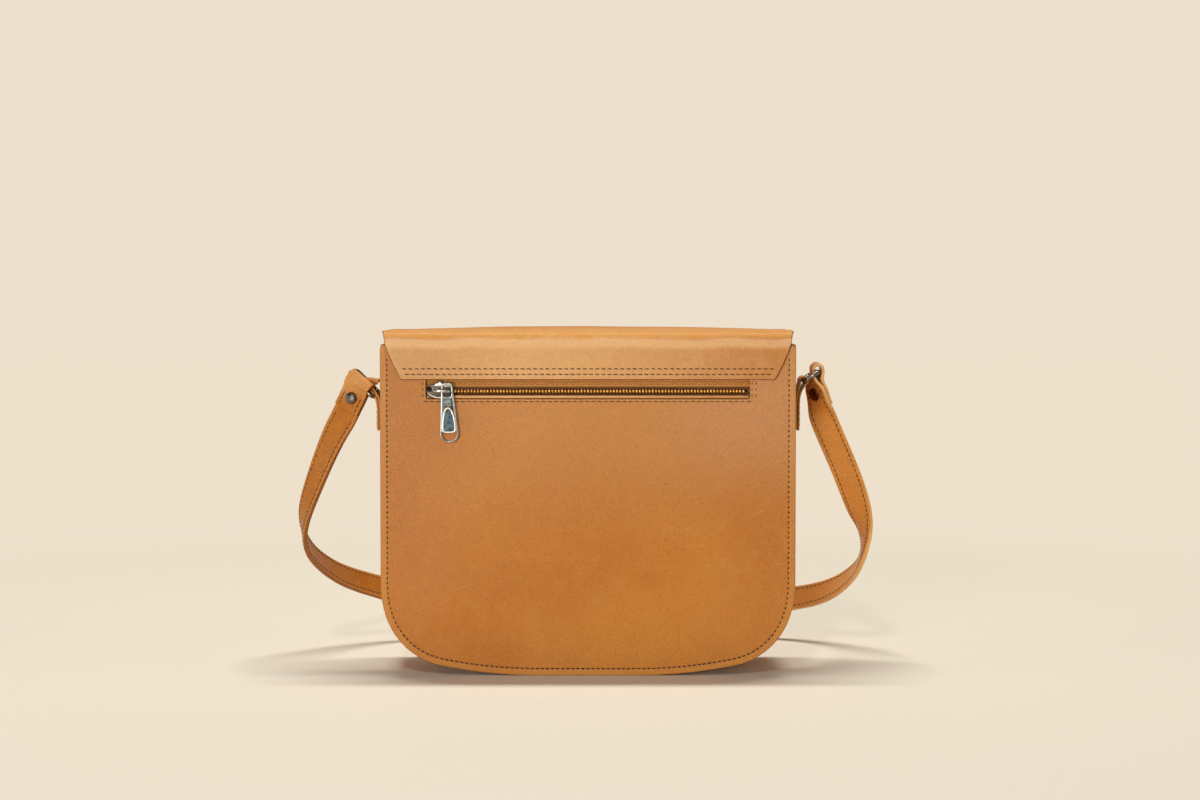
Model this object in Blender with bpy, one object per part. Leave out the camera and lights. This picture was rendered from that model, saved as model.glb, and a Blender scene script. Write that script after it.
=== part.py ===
# Leather flap bag: turned-edge body, folding flap, zipped back pocket and riveted shoulder strap.
# Metres, +Z up. The back of the bag faces -Y, the flap's closing face +Y, and z = 0 is the floor.
import math

import bmesh
import bpy
from mathutils import Matrix, Vector

GAP = 0.0003                     # clearance left between pieces that touch

# Body
BODY_WIDTH = 0.270
BODY_DEPTH = 0.078
PANEL_HEIGHT = 0.2155
LEATHER = 0.0020
BOTTOM_RADIUS = 0.320            # shallow sweep of the bottom edge
CORNER_RADIUS = 0.048
SIDE_RADIUS = 0.068              # easing from corner into straight side
BOTTOM_TURN = math.radians(11.5)
CORNER_TURN = math.radians(72.0)
GUSSET_THICKNESS = 0.0018
GUSSET_FLANGE = 0.0090           # turned-in edge that the panels are sewn to
GUSSET_FOLD = 0.0030
GUSSET_BULGE = 0.0016            # how far the sides swell past the panel edges

# Flap
FOLD_RADIUS = 0.0085
FOLD_LOW = 160.0                 # the back fold bends at two lines, in degrees round its arc
FOLD_HIGH = 110.0
FOLD_CUT = 1.2                   # degrees left open at each of them
FLAP_CROWN = 0.0025              # rise of the top in its middle
HINGE_Z = 0.2163                 # level where the back fold's arc begins
FRONT_FOLD_Z = 0.2142            # front fold line
FLAP_FRONT_Y = 0.0478            # outer face of the hanging leaf
FLAP_HALF_TOP = 0.1338
FLAP_HALF_HINGE = 0.1318
TAB_BOTTOM_Z = 0.1931
TAB_HALF_BOTTOM = 0.1215
FLAP_BOTTOM_Z = 0.0520
FLAP_CORNER = 0.0620
LINING_THICKNESS = 0.0010
LINING_INSET = 0.0015

# Back zip
ZIP_Z = 0.1857
WINDOW_HALF = 0.1050
WINDOW_LOW = 0.1806
WINDOW_HIGH = 0.1955
TAPE_THICKNESS = 0.0006
TAPE_HALF = 0.1120
TAPE_WIDTH = 0.0135
CHAIN_GAP = 0.00065              # half the space between the two rows
TOOTH_TIP = 0.00085              # how far a tooth stands in from its row
TOOTH_PITCH = 0.0021
TOOTH_WIDTH = 0.0012
ROW_EDGE = 0.0023
SLIDER_X = -0.0897               # bridge foot that the puller hangs on
PULLER_TOP = 0.0056              # above the bridge foot
PULLER_FOOT_Z = -0.0273          # centre of the round foot, below the bridge foot
PULLER_TILT = math.radians(-3.0)

# Strap, rings and side tabs
STRAP_WIDTH = 0.0180
STRAP_THICKNESS = 0.0030
LAP_THICKNESS = 0.0020
LOOP_RADIUS = 0.0022             # inside radius of the strap's fold
BAR_OFFSET = 0.0040              # ring bar to the strap's middle line
RIVET_AT = 0.0155                # along the strap, from the ring bar
LAP_END_AT = 0.0240
CUT_AT = 0.0310                  # where the swinging band begins
BAND_GAP = 0.0012                # left open between the band and each riveted end
WIRE = 0.0014                    # ring wire radius
RING_INNER_WIDTH = 0.0200
RING_LENGTH = 0.0110             # between the two bars' centres
TAB_LAYER = 0.0014
TAB_EYE = 0.00175                # inside radius of the tab's eye
TAB_WIDTH = 0.0180
TAB_LOW_Z = 0.1580
TAB_LEAN = math.radians(25)      # how far the tab's eye leans out from the bag
RIVET_RADIUS = 0.0040

# Magnetic snap
SNAP_Z = 0.0860
SNAP_RADIUS = 0.0090

HALF_WIDTH = BODY_WIDTH / 2
BACK_Y = -BODY_DEPTH / 2
FRONT_Y = BODY_DEPTH / 2
TAN_LEATHER = (0.56, 0.27, 0.10)
INNER_LEATHER = (0.36, 0.17, 0.07)


def clear_objects():
    for item in list(bpy.data.objects):
        bpy.data.objects.remove(item, do_unlink=True)


def material(name, colour, roughness, metallic=0.0):
    made = bpy.data.materials.new(name)
    made.use_nodes = True
    shader = made.node_tree.nodes["Principled BSDF"]
    shader.inputs["Base Color"].default_value = (*colour, 1.0)
    shader.inputs["Roughness"].default_value = roughness
    shader.inputs["Metallic"].default_value = metallic
    return made


def place(name, bm, look, smooth=False):
    bmesh.ops.recalc_face_normals(bm, faces=bm.faces)
    mesh = bpy.data.meshes.new(name)
    bm.to_mesh(mesh)
    bm.free()
    if smooth:
        mesh.shade_smooth()
        mesh.set_sharp_from_angle(angle=math.radians(40))
    item = bpy.data.objects.new(name, mesh)
    bpy.context.scene.collection.objects.link(item)
    if look:
        mesh.materials.append(look)
    return item


def helper(item):
    item.hide_render = True
    item.display_type = "WIRE"
    return item


def combine(item, other, operation):
    step = item.modifiers.new(operation.lower(), "BOOLEAN")
    step.operation = operation
    step.solver = "EXACT"
    step.object = helper(other)


def soften(item, width, segments=1, angle=50):
    edge = item.modifiers.new("edge", "BEVEL")
    edge.width = width
    edge.segments = segments
    edge.limit_method = "ANGLE"
    edge.angle_limit = math.radians(angle)


# Meshes from outlines, sections and turned profiles

def prism(outline, low, high, axis="Y"):
    # outline holds (x, z) pairs for axis Y and (x, y) pairs for axis Z
    bm = bmesh.new()
    if axis == "Y":
        loop = [bm.verts.new((x, low, z)) for x, z in outline]
        step = Vector((0, high - low, 0))
    else:
        loop = [bm.verts.new((x, y, low)) for x, y in outline]
        step = Vector((0, 0, high - low))
    face = bm.faces.new(loop)
    grown = bmesh.ops.extrude_face_region(bm, geom=[face])
    moved = [part for part in grown["geom"] if isinstance(part, bmesh.types.BMVert)]
    bmesh.ops.translate(bm, verts=moved, vec=step)
    return bm


def box(low, high):
    outline = [(low[0], low[2]), (high[0], low[2]), (high[0], high[2]), (low[0], high[2])]
    return prism(outline, low[1], high[1])


def loft(sections, closed=False):
    # each section is a ring of points; the first and last are capped unless the run is closed
    bm = bmesh.new()
    rings = [[bm.verts.new(point) for point in section] for section in sections]
    count = len(rings[0])
    pairs = list(zip(rings, rings[1:]))
    if closed:
        pairs.append((rings[-1], rings[0]))
    for first, second in pairs:
        for i in range(count):
            j = (i + 1) % count
            bm.faces.new((first[i], first[j], second[j], second[i]))
    if not closed:
        bm.faces.new(rings[0])
        bm.faces.new(rings[-1])
    return bm


def turned(profile, segments, turn):
    # profile runs from axis to axis as (radius, height); turn maps the height axis +Z into place
    bm = bmesh.new()
    rings = []
    for radius, height in profile:
        if radius < 1e-6:
            rings.append([bm.verts.new(turn @ Vector((0, 0, height)))])
            continue
        angles = [2 * math.pi * i / segments for i in range(segments)]
        rings.append([bm.verts.new(turn @ Vector((radius * math.cos(a), radius * math.sin(a), height)))
                      for a in angles])
    for first, second in zip(rings, rings[1:]):
        for i in range(segments):
            j = (i + 1) % segments
            if len(first) == 1:
                bm.faces.new((first[0], second[j], second[i]))
            elif len(second) == 1:
                bm.faces.new((first[i], first[j], second[0]))
            else:
                bm.faces.new((first[i], first[j], second[j], second[i]))
    return bm


def arc(centre, radius, start, end, steps):
    # angles in degrees, measured from +first axis towards +second axis
    points = []
    for i in range(steps + 1):
        a = math.radians(start + (end - start) * i / steps)
        points.append((centre[0] + radius * math.cos(a), centre[1] + radius * math.sin(a)))
    return points


def frame_matrix(origin, x_axis, y_axis, z_axis):
    turn = Matrix((x_axis, y_axis, z_axis)).transposed()
    return Matrix.Translation(origin) @ turn.to_4x4()


# Body outline: (x, z, tangent angle) from the bottom centre up to the right top corner

def edge_stations():
    reach = ((BOTTOM_RADIUS - CORNER_RADIUS) * math.sin(BOTTOM_TURN)
             + (CORNER_RADIUS - SIDE_RADIUS) * math.sin(CORNER_TURN) + SIDE_RADIUS)
    centre = Vector((HALF_WIDTH - reach, BOTTOM_RADIUS))
    stations = [(0.0, 0.0, 0.0), (centre.x / 2, 0.0, 0.0)]
    arcs = [(BOTTOM_RADIUS, 0.0, BOTTOM_TURN, 3),
            (CORNER_RADIUS, BOTTOM_TURN, CORNER_TURN, 9),
            (SIDE_RADIUS, CORNER_TURN, math.pi / 2, 4)]
    radius = BOTTOM_RADIUS
    for next_radius, start, end, steps in arcs:
        centre = centre + (radius - next_radius) * Vector((math.sin(start), -math.cos(start)))
        radius = next_radius
        first = 0 if start == 0.0 else 1
        for i in range(first, steps + 1):
            a = start + (end - start) * i / steps
            stations.append((centre.x + radius * math.sin(a), centre.y - radius * math.cos(a), a))
    for share in (0.33, 0.66, 1.0):
        stations.append((HALF_WIDTH, centre.y + (PANEL_HEIGHT - centre.y) * share, math.pi / 2))
    return stations


def all_stations():
    right = edge_stations()
    left = [(-x, z, -a) for x, z, a in reversed(right[1:])]
    return left + right


def panel_outline():
    # the top corners are eased by 3 mm
    ease = 0.003
    points = [(x, z) for x, z, _ in all_stations()]
    right = arc((HALF_WIDTH - ease, PANEL_HEIGHT - ease), ease, 0, 90, 3)
    left = [(-x, z) for x, z in reversed(right)]
    return left[2:] + points[1:-1] + right[:2] + [right[3], left[0]][:2]


def make_panels(look):
    outline = panel_outline()
    back = place("back_panel", prism(outline, BACK_Y, BACK_Y + LEATHER), look)
    window = box((-WINDOW_HALF, BACK_Y - 0.002, WINDOW_LOW), (WINDOW_HALF, BACK_Y + 0.005, WINDOW_HIGH))
    combine(back, place("zip_window_cutter", window, None), "DIFFERENCE")
    soften(back, 0.0005)
    front = place("front_panel", prism(outline, FRONT_Y - LEATHER, FRONT_Y), look)
    soften(front, 0.0005)


def make_gusset(look):
    # a channel whose edges turn in behind both panels, carried round the body outline
    reach = BODY_DEPTH / 2 - LEATHER - GAP
    inner_fold = GUSSET_FOLD - GUSSET_THICKNESS
    fold = arc((GUSSET_FOLD, reach - GUSSET_FOLD), GUSSET_FOLD, 180, 90, 3)
    inside = arc((GUSSET_FOLD, reach - GUSSET_FOLD), inner_fold, 90, 180, 2)
    right = [(0.0, reach / 2)] + fold + [(GUSSET_FLANGE, reach)]
    right += [(GUSSET_FLANGE, reach - GUSSET_THICKNESS)] + inside + [(GUSSET_THICKNESS, reach / 2)]
    half = len(fold) + 2
    outer = [(inset, -y) for inset, y in reversed(right[:half])] + [(0.0, 0.0)] + right[:half]
    inner = right[half:] + [(GUSSET_THICKNESS, 0.0)]
    inner += [(inset, -y) for inset, y in reversed(right[half:])]
    section = outer + inner
    sections = []
    for x, z, angle in all_stations():
        side = math.sin(angle) ** 2
        ring = []
        for inset, y in section:
            swell = GUSSET_BULGE * side * max(0.0, 1 - (y / reach) ** 2)
            n = inset - (swell if inset <= GUSSET_THICKNESS + 1e-6 else 0.0)
            ring.append((x - n * math.sin(angle), y, z + n * math.cos(angle)))
        sections.append(ring)
    place("gusset", loft(sections), look)


# Flap: sewn tab behind, back fold, crowned top, hanging leaf in front

def fold_station(degrees):
    # half width, outer point and inner point of the leather round the back fold
    turn = math.radians(degrees)
    centre_y = BACK_Y - GAP - LEATHER + FOLD_RADIUS
    half = FLAP_HALF_HINGE + (FLAP_HALF_TOP - FLAP_HALF_HINGE) * math.sin(turn)
    outer, inner = [(centre_y + r * math.cos(turn), HINGE_Z + r * math.sin(turn))
                    for r in (FOLD_RADIUS, FOLD_RADIUS - LEATHER)]
    return half, outer, inner


def folded_sheet(name, stations, look):
    sections = [[(-half, *outer), (half, *outer), (half, *inner), (-half, *inner)]
                for half, outer, inner in stations]
    return place(name, loft(sections), look)


def fold_arc(start, end, steps):
    return [fold_station(start + (end - start) * i / steps) for i in range(steps + 1)]


def make_back_tab(look):
    # the sewn tab runs up the panel and into the first part of the back fold
    back = BACK_Y - GAP - LEATHER
    flat = [(TAB_HALF_BOTTOM, TAB_BOTTOM_Z), (FLAP_HALF_HINGE - 0.0045, TAB_BOTTOM_Z + 0.0125)]
    stations = [(half, (back, z), (back + LEATHER, z)) for half, z in flat]
    tab = folded_sheet("flap_back_tab", stations + fold_arc(180.0, FOLD_LOW + FOLD_CUT, 2), look)
    soften(tab, 0.0004)


def make_flap_fold(look):
    # middle of the back fold, free to bend at both its edges
    folded_sheet("flap_fold", fold_arc(FOLD_LOW - FOLD_CUT, FOLD_HIGH + FOLD_CUT, 4), look)


def flap_top_section():
    # (y, z, share of the crown) ring: back fold, top, front fold, and back along the inside
    front_y = FLAP_FRONT_Y - FOLD_RADIUS
    front_end = FRONT_FOLD_Z + LEATHER / 2 + GAP
    back_fold = fold_arc(FOLD_HIGH - FOLD_CUT, 90.0, 2)
    back_y = back_fold[-1][1][0]
    flat = [(back_y + (front_y - back_y) * share, math.sin(math.pi * share)) for share in (0.2, 0.4, 0.6, 0.8)]
    ring = []
    for side, radius in ((1, FOLD_RADIUS), (2, FOLD_RADIUS - LEATHER)):
        line = [(*station[side], 0.0) for station in back_fold]
        line += [(y, HINGE_Z + radius, lift) for y, lift in flat]
        line += [(y, z, 0.0) for y, z in arc((front_y, HINGE_Z), radius, 90, 0, 6)]
        line.append((front_y + radius, front_end, 0.0))
        ring += line if side == 1 else line[::-1]
    return ring


def make_flap_top(look):
    section = flap_top_section()
    count = 12
    sections = []
    for i in range(count + 1):
        across = -1 + 2 * i / count
        crown = FLAP_CROWN * (1 - across ** 2)
        sections.append([(FLAP_HALF_TOP * across, y, z + lift * crown) for y, z, lift in section])
    place("flap_top", loft(sections), look)


def leaf_outline(inset, top):
    # rounded lower corners joined by a shallow sweep
    half = FLAP_HALF_TOP - inset
    radius = FLAP_CORNER - inset
    low = FLAP_BOTTOM_Z + inset
    corner = arc((half - radius, low + radius), radius, -84, 0, 9)
    right = [(0.0, low - 0.0012)] + corner + [(half, top)]
    return right + [(-x, z) for x, z in reversed(right[1:])]


def make_flap_front(leather, suede):
    top = FRONT_FOLD_Z + LEATHER / 2
    leaf = place("flap_front", prism(leaf_outline(0.0, top), FLAP_FRONT_Y - LEATHER, FLAP_FRONT_Y), leather)
    soften(leaf, 0.0009, 2)
    lining_y = FLAP_FRONT_Y - LEATHER - GAP
    pocket = turned([(0, 0), (0.0083, 0), (0.0083, 0.0018), (0, 0.0018)], 20, snap_frame(lining_y - 0.001))
    combine(leaf, place("washer_pocket_cutter", pocket, None), "DIFFERENCE")
    outline = leaf_outline(LINING_INSET, FRONT_FOLD_Z - 0.002)
    lining = place("flap_lining", prism(outline, lining_y - LINING_THICKNESS, lining_y), suede)
    soften(lining, 0.0003)


def snap_frame(y):
    # turned parts here grow along +Y
    return frame_matrix(Vector((0, y, SNAP_Z)), Vector((1, 0, 0)), Vector((0, 0, -1)), Vector((0, 1, 0)))


def make_snap(metal):
    socket = [(0, 0), (SNAP_RADIUS, 0), (SNAP_RADIUS, 0.0022), (SNAP_RADIUS - 0.0008, 0.0033),
              (0.0042, 0.0033), (0.0042, 0.0012), (0, 0.0012)]
    place("snap_socket", turned(socket, 24, snap_frame(FRONT_Y + GAP)), metal, True)
    lining_inner = FLAP_FRONT_Y - LEATHER - GAP - LINING_THICKNESS
    base = lining_inner - GAP - 0.0011
    stud = [(0, -0.0017), (0.0030, -0.0017), (0.0034, -0.0013), (0.0034, 0), (SNAP_RADIUS - 0.0006, 0),
            (SNAP_RADIUS, 0.0005), (SNAP_RADIUS, 0.0011), (0, 0.0011)]
    place("snap_stud", turned(stud, 24, snap_frame(base)), metal, True)
    disc = [(0, 0), (0.0075, 0), (0.0075, 0.0005), (0, 0.0005)]
    place("snap_stud_washer", turned(disc, 20, snap_frame(FLAP_FRONT_Y - LEATHER)), metal)
    place("snap_socket_washer", turned(disc, 20, snap_frame(FRONT_Y - LEATHER - GAP - 0.0005)), metal)


# Back zip: tapes, two toothed rows, stops, slider, puller and the pocket behind

def make_zip_tapes(look):
    y = BACK_Y + LEATHER + GAP
    inner = CHAIN_GAP + 0.00005
    for name, sign in (("zip_tape_upper", 1), ("zip_tape_lower", -1)):
        edges = sorted((ZIP_Z + sign * inner, ZIP_Z + sign * TAPE_WIDTH))
        place(name, box((-TAPE_HALF, y, edges[0]), (TAPE_HALF, y + TAPE_THICKNESS, edges[1])), look)


def make_zip_teeth(look):
    # each row is one comb; the lower row's teeth stand between the upper row's
    half = WINDOW_HALF - 0.0008
    count = int(2 * half / TOOTH_PITCH) - 1
    for name, sign, shift in (("zip_teeth_upper", 1, 0.0), ("zip_teeth_lower", -1, 0.5)):
        root = CHAIN_GAP + TOOTH_TIP
        comb = [(-half, ROW_EDGE), (-half, root)]
        for i in range(count):
            x = -half + (i + 0.35 + shift) * TOOTH_PITCH
            comb += [(x, root), (x + 0.0002, CHAIN_GAP)]
            comb += [(x + TOOTH_WIDTH - 0.0002, CHAIN_GAP), (x + TOOTH_WIDTH, root)]
        comb += [(half, root), (half, ROW_EDGE)]
        outline = [(x, ZIP_Z + sign * z) for x, z in comb]
        place(name, prism(outline, BACK_Y, BACK_Y + LEATHER), look)


def make_zip_stops(look):
    y = BACK_Y + LEATHER + 2 * GAP + TAPE_THICKNESS
    for name, x in (("zip_stop_left", -0.1079), ("zip_stop_right", 0.1061)):
        stop = place(name, box((x, y, ZIP_Z - 0.0020), (x + 0.0018, y + 0.0011, ZIP_Z + 0.0020)), look)
        soften(stop, 0.0003)


def slider_outline(grow=0.0):
    # wide throat towards -X, narrow tail towards +X, in metres from the bridge foot
    half = 0.0046 + grow
    tail = 0.0036 + grow
    upper = [(0.0022 + grow, tail - 0.0012), (0.0010 + grow, tail), (-0.0055, tail + 0.0002)]
    upper += arc((-0.0110, half - 0.0038), 0.0038, 80, 180, 5)
    return [(SLIDER_X + x, ZIP_Z + z) for x, z in upper] + \
           [(SLIDER_X + x, ZIP_Z - z) for x, z in reversed(upper)]


def make_slider(metal):
    face = BACK_Y - GAP                       # inner side of the front plate
    plate = 0.0012
    back = BACK_Y + LEATHER + 2 * GAP + TAPE_THICKNESS + 0.0001
    slider = place("zip_slider", prism(slider_outline(), face - plate, face), metal)
    base = prism(slider_outline(), back, back + plate)
    combine(slider, place("slider_base_part", base, None), "UNION")
    post = box((SLIDER_X - 0.0128, face - 0.0006, ZIP_Z - 0.00035),
               (SLIDER_X - 0.0088, back + 0.0006, ZIP_Z + 0.00035))
    combine(slider, place("slider_post_part", post, None), "UNION")
    for sign in (1, -1):
        low, high = sorted((ZIP_Z + sign * 0.0028, ZIP_Z + sign * 0.0036))
        lip = box((SLIDER_X - 0.0090, face - 0.0006, low), (SLIDER_X + 0.0010, BACK_Y + 0.0016, high))
        combine(slider, place(f"slider_lip_part_{'low' if sign < 0 else 'high'}", lip, None), "UNION")
    bridge = place("slider_bridge_part", slider_bridge(face - plate), None)
    combine(slider, bridge, "UNION")


def slider_bridge(face):
    # arch along the slider in (x, y); the puller's eye hangs on its right foot
    rise = 0.0036
    thick = 0.0013
    left, right = SLIDER_X - 0.0106, SLIDER_X + 0.0008
    outer = [(right, face + 0.0006), (right, face - rise + 0.0012), (right - 0.0012, face - rise),
             (left + 0.0030, face - rise), (left + 0.0008, face - rise + 0.0012), (left, face + 0.0006)]
    inner = [(left + 0.0018, face + 0.0006), (left + 0.0020, face - 0.0014),
             (left + 0.0034, face - rise + thick), (right - 0.0022, face - rise + thick),
             (right - 0.0016, face - rise + thick + 0.0006), (right - 0.0016, face + 0.0006)]
    return prism(outer + inner, ZIP_Z - 0.0013, ZIP_Z + 0.0013, "Z")


def puller_outline():
    # local x and z about the puller's own middle line, top end rounded, wider round foot
    foot = 0.0060
    right = [(0.0013, PULLER_TOP), (0.0030, PULLER_TOP - 0.0007), (0.0037, PULLER_TOP - 0.0024),
             (foot, PULLER_FOOT_Z + 0.0011)]
    right += arc((0, PULLER_FOOT_Z), foot, 0, -90, 6)
    return right + [(-x, z) for x, z in reversed(right[:-1])]


def puller_tongue():
    right = arc((0, -0.0131), 0.0027, 90, 15, 4) + [(0.0037, -0.0162), (0.0044, -0.0205), (0.0047, -0.0250),
                                                     (0.0042, -0.0266), (0.0020, -0.0272)]
    return right + [(-x, z) for x, z in reversed(right[1:])]


def make_puller(metal):
    # local origin on the bridge foot; the eye's middle line sits beside it so the puller hangs tilted
    aside = -0.0009
    thick = 0.0014
    near = BACK_Y - GAP - 0.0012 - 0.0005 - thick
    shift = [(x + aside, z) for x, z in puller_outline()]
    puller = place("zip_puller", prism(shift, near, near + thick), metal)
    eye = [(-0.0028, -0.0036), (0.0028, -0.0036), (0.0026, PULLER_TOP - 0.0022), (-0.0026, PULLER_TOP - 0.0022)]
    grip = arc((0, PULLER_FOOT_Z), 0.0050, 0, -180, 8)
    grip += [(-0.0047, -0.0256), (0.0, -0.0267), (0.0047, -0.0256)]
    pad = prism([(x + aside, z) for x, z in puller_tongue()], near - 0.0006, near + 0.0004)
    pad_item = place("puller_tongue_part", pad, None)
    pad_item.parent = puller
    combine(puller, pad_item, "UNION")
    for name, hole in (("puller_eye_cutter", eye), ("puller_grip_cutter", grip)):
        cut = prism([(x + aside, z) for x, z in hole], near - 0.002, near + thick + 0.002)
        cutter = place(name, cut, None)
        cutter.parent = puller
        combine(puller, cutter, "DIFFERENCE")
    puller.location = (SLIDER_X, 0, ZIP_Z)
    puller.rotation_euler = (0, PULLER_TILT, 0)


def make_zip_pocket(look):
    y = BACK_Y + LEATHER + GAP + TAPE_THICKNESS + 0.0028
    outline = [(-0.113, 0.200), (-0.113, 0.084)] + arc((-0.105, 0.084), 0.008, 180, 270, 4)
    outline += arc((0.105, 0.084), 0.008, 270, 360, 4) + [(0.113, 0.084), (0.113, 0.200)]
    unique = [point for i, point in enumerate(outline) if point != outline[i - 1]]
    pocket = place("zip_pocket", prism(unique, y, y + 0.0015), look)
    soften(pocket, 0.0004)


# Side tabs and rings

# bar is the ring's inner bar; lap tells whether the strap's lap lies away from the bag (1) or not (-1)
SIDES = {
    "left": {"sign": -1, "bar": Vector((-0.1445, 0.0, 0.1910)), "tilt": 20.0, "yaw": 30.0, "lap": -1},
    "right": {"sign": 1, "bar": Vector((0.1428, 0.0, 0.1912)), "tilt": 32.0, "yaw": 0.0, "lap": 1},
}


def ring_axes(side):
    # along the inner bar, out through the ring, and square to its plane
    facts = SIDES[side]
    yaw = math.radians(facts["yaw"])
    tilt = math.radians(facts["tilt"])
    flat = Vector((facts["sign"] * math.cos(yaw), math.sin(yaw), 0))
    bar = Vector((math.sin(yaw), -facts["sign"] * math.cos(yaw), 0)) * -facts["sign"]
    out = flat * math.cos(tilt) + Vector((0, 0, 1)) * math.sin(tilt)
    return bar, out, bar.cross(out)


def make_ring(side, metal):
    # rounded rectangle of wire, its origin on the inner bar
    bar, out, square = ring_axes(side)
    half = RING_INNER_WIDTH / 2 + WIRE
    bend = 0.0030
    path = arc((RING_LENGTH - bend, half - bend), bend, 0, 90, 3)
    path += arc((bend, half - bend), bend, 90, 180, 3)
    path += arc((bend, -half + bend), bend, 180, 270, 3)
    path += arc((RING_LENGTH - bend, -half + bend), bend, 270, 360, 3)
    sides = 10
    sections = []
    for i, (u, v) in enumerate(path):
        before = path[i - 1]
        after = path[(i + 1) % len(path)]
        along = (out * (after[0] - before[0]) + bar * (after[1] - before[1])).normalized()
        across = along.cross(square).normalized()
        middle = out * u + bar * v
        sections.append([middle + WIRE * (across * math.cos(2 * math.pi * k / sides)
                                          + square * math.sin(2 * math.pi * k / sides))
                         for k in range(sides)])
    ring = place(f"{side}_ring", loft(sections, closed=True), metal, True)
    ring.location = SIDES[side]["bar"]


def make_side_tab(side, look):
    # two layers of leather hang from the eye that holds the ring's inner bar
    mapped, length = tab_place(side)
    layer = TAB_LAYER / 2 + GAP / 2
    eye = TAB_EYE + TAB_LAYER / 2
    outward = [(length, layer), (length - 0.0015, layer), (length * 0.75, layer), (length * 0.5, layer),
               (0.0135, layer), (0.0110, layer), (0.0085, layer), (0.0060, layer + 0.0001),
               (0.0042, layer + 0.0005)]
    turn = [(-eye * math.sin(math.radians(d)), eye * math.cos(math.radians(d)))
            for d in (-45, -15, 10, 35, 60, 90, 120, 145, 170, 195, 225)]
    inward = [(a, -b) for a, b in reversed(outward)]
    path = outward + turn + inward
    place(f"{side}_side_tab", ribbon(path, [TAB_LAYER] * len(path), TAB_WIDTH, mapped), look)


def tab_place(side):
    # maps (along from the ring bar, out from the bag, across) into space: square to the bar at the
    # eye, then curving over into the plain hang down the gusset
    sign = SIDES[side]["sign"]
    bar_axis = ring_axes(side)[0]
    if bar_axis.y < 0:
        bar_axis = -bar_axis
    seat = HALF_WIDTH + GUSSET_BULGE + GAP + TAB_LAYER + GAP / 2
    top = SIDES[side]["bar"]
    level = Vector((bar_axis.y * -sign, bar_axis.x * sign, 0))
    start = level * math.sin(TAB_LEAN) - Vector((0, 0, math.cos(TAB_LEAN)))
    foot = Vector((sign * seat, 0, top.z - 0.0150))
    knots = [top, top + start * 0.0060, foot + Vector((sign * 0.0003, 0, 0.0060)), foot]
    curved = 0.0158

    def mapped(a, b, c):
        t = min(1.0, max(0.0, a / curved))
        s = 1 - t
        centre = (knots[0] * s ** 3 + knots[1] * 3 * s * s * t + knots[2] * 3 * s * t * t + knots[3] * t ** 3)
        along = ((knots[1] - knots[0]) * s * s + (knots[2] - knots[1]) * 2 * s * t
                 + (knots[3] - knots[2]) * t * t).normalized()
        if a < 0:
            centre = top + start * a
        elif a > curved:
            centre = foot - Vector((0, 0, a - curved))
        turn = min(1.0, max(0.0, (a - 0.0030) / 0.0100))
        across = bar_axis.lerp(Vector((0, 1, 0)), turn)
        across = (across - along * across.dot(along)).normalized()
        out = across.cross(along)
        if out.x * sign < 0:
            out = -out
        return centre + out * b + across * c
    return mapped, curved + foot.z - TAB_LOW_Z


def ribbon(path, thickness, width, mapped):
    # a strip of leather: path in (along, out), square ends, thickness given at every point
    sections = []
    for i, (a, b) in enumerate(path):
        before = Vector(path[max(0, i - 1)])
        after = Vector(path[min(len(path) - 1, i + 1)])
        direction = (after - before).normalized()
        side = Vector((-direction.y, direction.x)) * thickness[i] / 2
        left = Vector((a, b)) + side
        right = Vector((a, b)) - side
        sections.append([mapped(left.x, left.y, -width / 2), mapped(left.x, left.y, width / 2),
                         mapped(right.x, right.y, width / 2), mapped(right.x, right.y, -width / 2)])
    return loft(sections)


# Strap: one route from the left ring round in front of the bag to the right ring. The points follow
# each ring and carry the direction in which the strap's riveted face looks.

LEFT_ROUTE = [
    ((-0.1577, 0.0052, 0.1805), (0.30, -0.95, 0.0)),
    ((-0.1638, 0.0030, 0.1655), (-0.16, -0.99, 0.0)),
    ((-0.1716, 0.0060, 0.1512), (-0.54, -0.84, 0.0)),
    ((-0.1836, 0.0150, 0.1238), (-0.75, -0.66, 0.0)),
    ((-0.1926, 0.0300, 0.0965), (-0.93, -0.37, 0.0)),
    ((-0.1929, 0.0430, 0.0806), (-0.99, 0.02, -0.10)),
    ((-0.1893, 0.0550, 0.0698), (-0.94, 0.05, -0.33)),
    ((-0.1750, 0.0790, 0.0540), (-0.80, 0.30, -0.50)),
    ((-0.1490, 0.1050, 0.0410), (-0.66, 0.57, -0.50)),
    ((-0.1050, 0.1265, 0.0255), (-0.36, 0.90, -0.25)),
    ((-0.0540, 0.1370, 0.0135), (-0.10, 0.99, 0.0)),
]
FRONT_POINT = ((0.0, 0.1400, 0.0095), (0.0, 1.0, 0.0))
RIGHT_ROUTE = [
    ((0.1518, 0.0012, 0.1825), (0.80, 0.60, 0.0)),
    ((0.1568, 0.0030, 0.1655), (0.10, 0.99, 0.0)),
    ((0.1631, 0.0060, 0.1512), (0.10, 0.99, 0.0)),
    ((0.1753, 0.0135, 0.1240), (0.20, 0.98, 0.0)),
    ((0.1853, 0.0260, 0.0965), (0.64, 0.77, 0.0)),
    ((0.1885, 0.0400, 0.0800), (0.93, 0.33, -0.12)),
    ((0.1884, 0.0560, 0.0668), (0.95, 0.02, -0.32)),
    ((0.1841, 0.0740, 0.0558), (0.85, 0.09, -0.52)),
    ((0.1680, 0.1010, 0.0395), (0.80, 0.37, -0.50)),
    ((0.1320, 0.1255, 0.0265), (0.50, 0.72, -0.45)),
    ((0.0640, 0.1380, 0.0140), (0.12, 0.99, 0.0)),
]


def strap_start(side):
    # the strap's middle line where it passes the ring's outer bar, and its riveted face there
    _, out, _ = ring_axes(side)
    level = Vector((out.x, out.y, 0)).normalized() * SIDES[side]["lap"]
    return SIDES[side]["bar"] + out * RING_LENGTH - level * BAR_OFFSET, level


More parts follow.
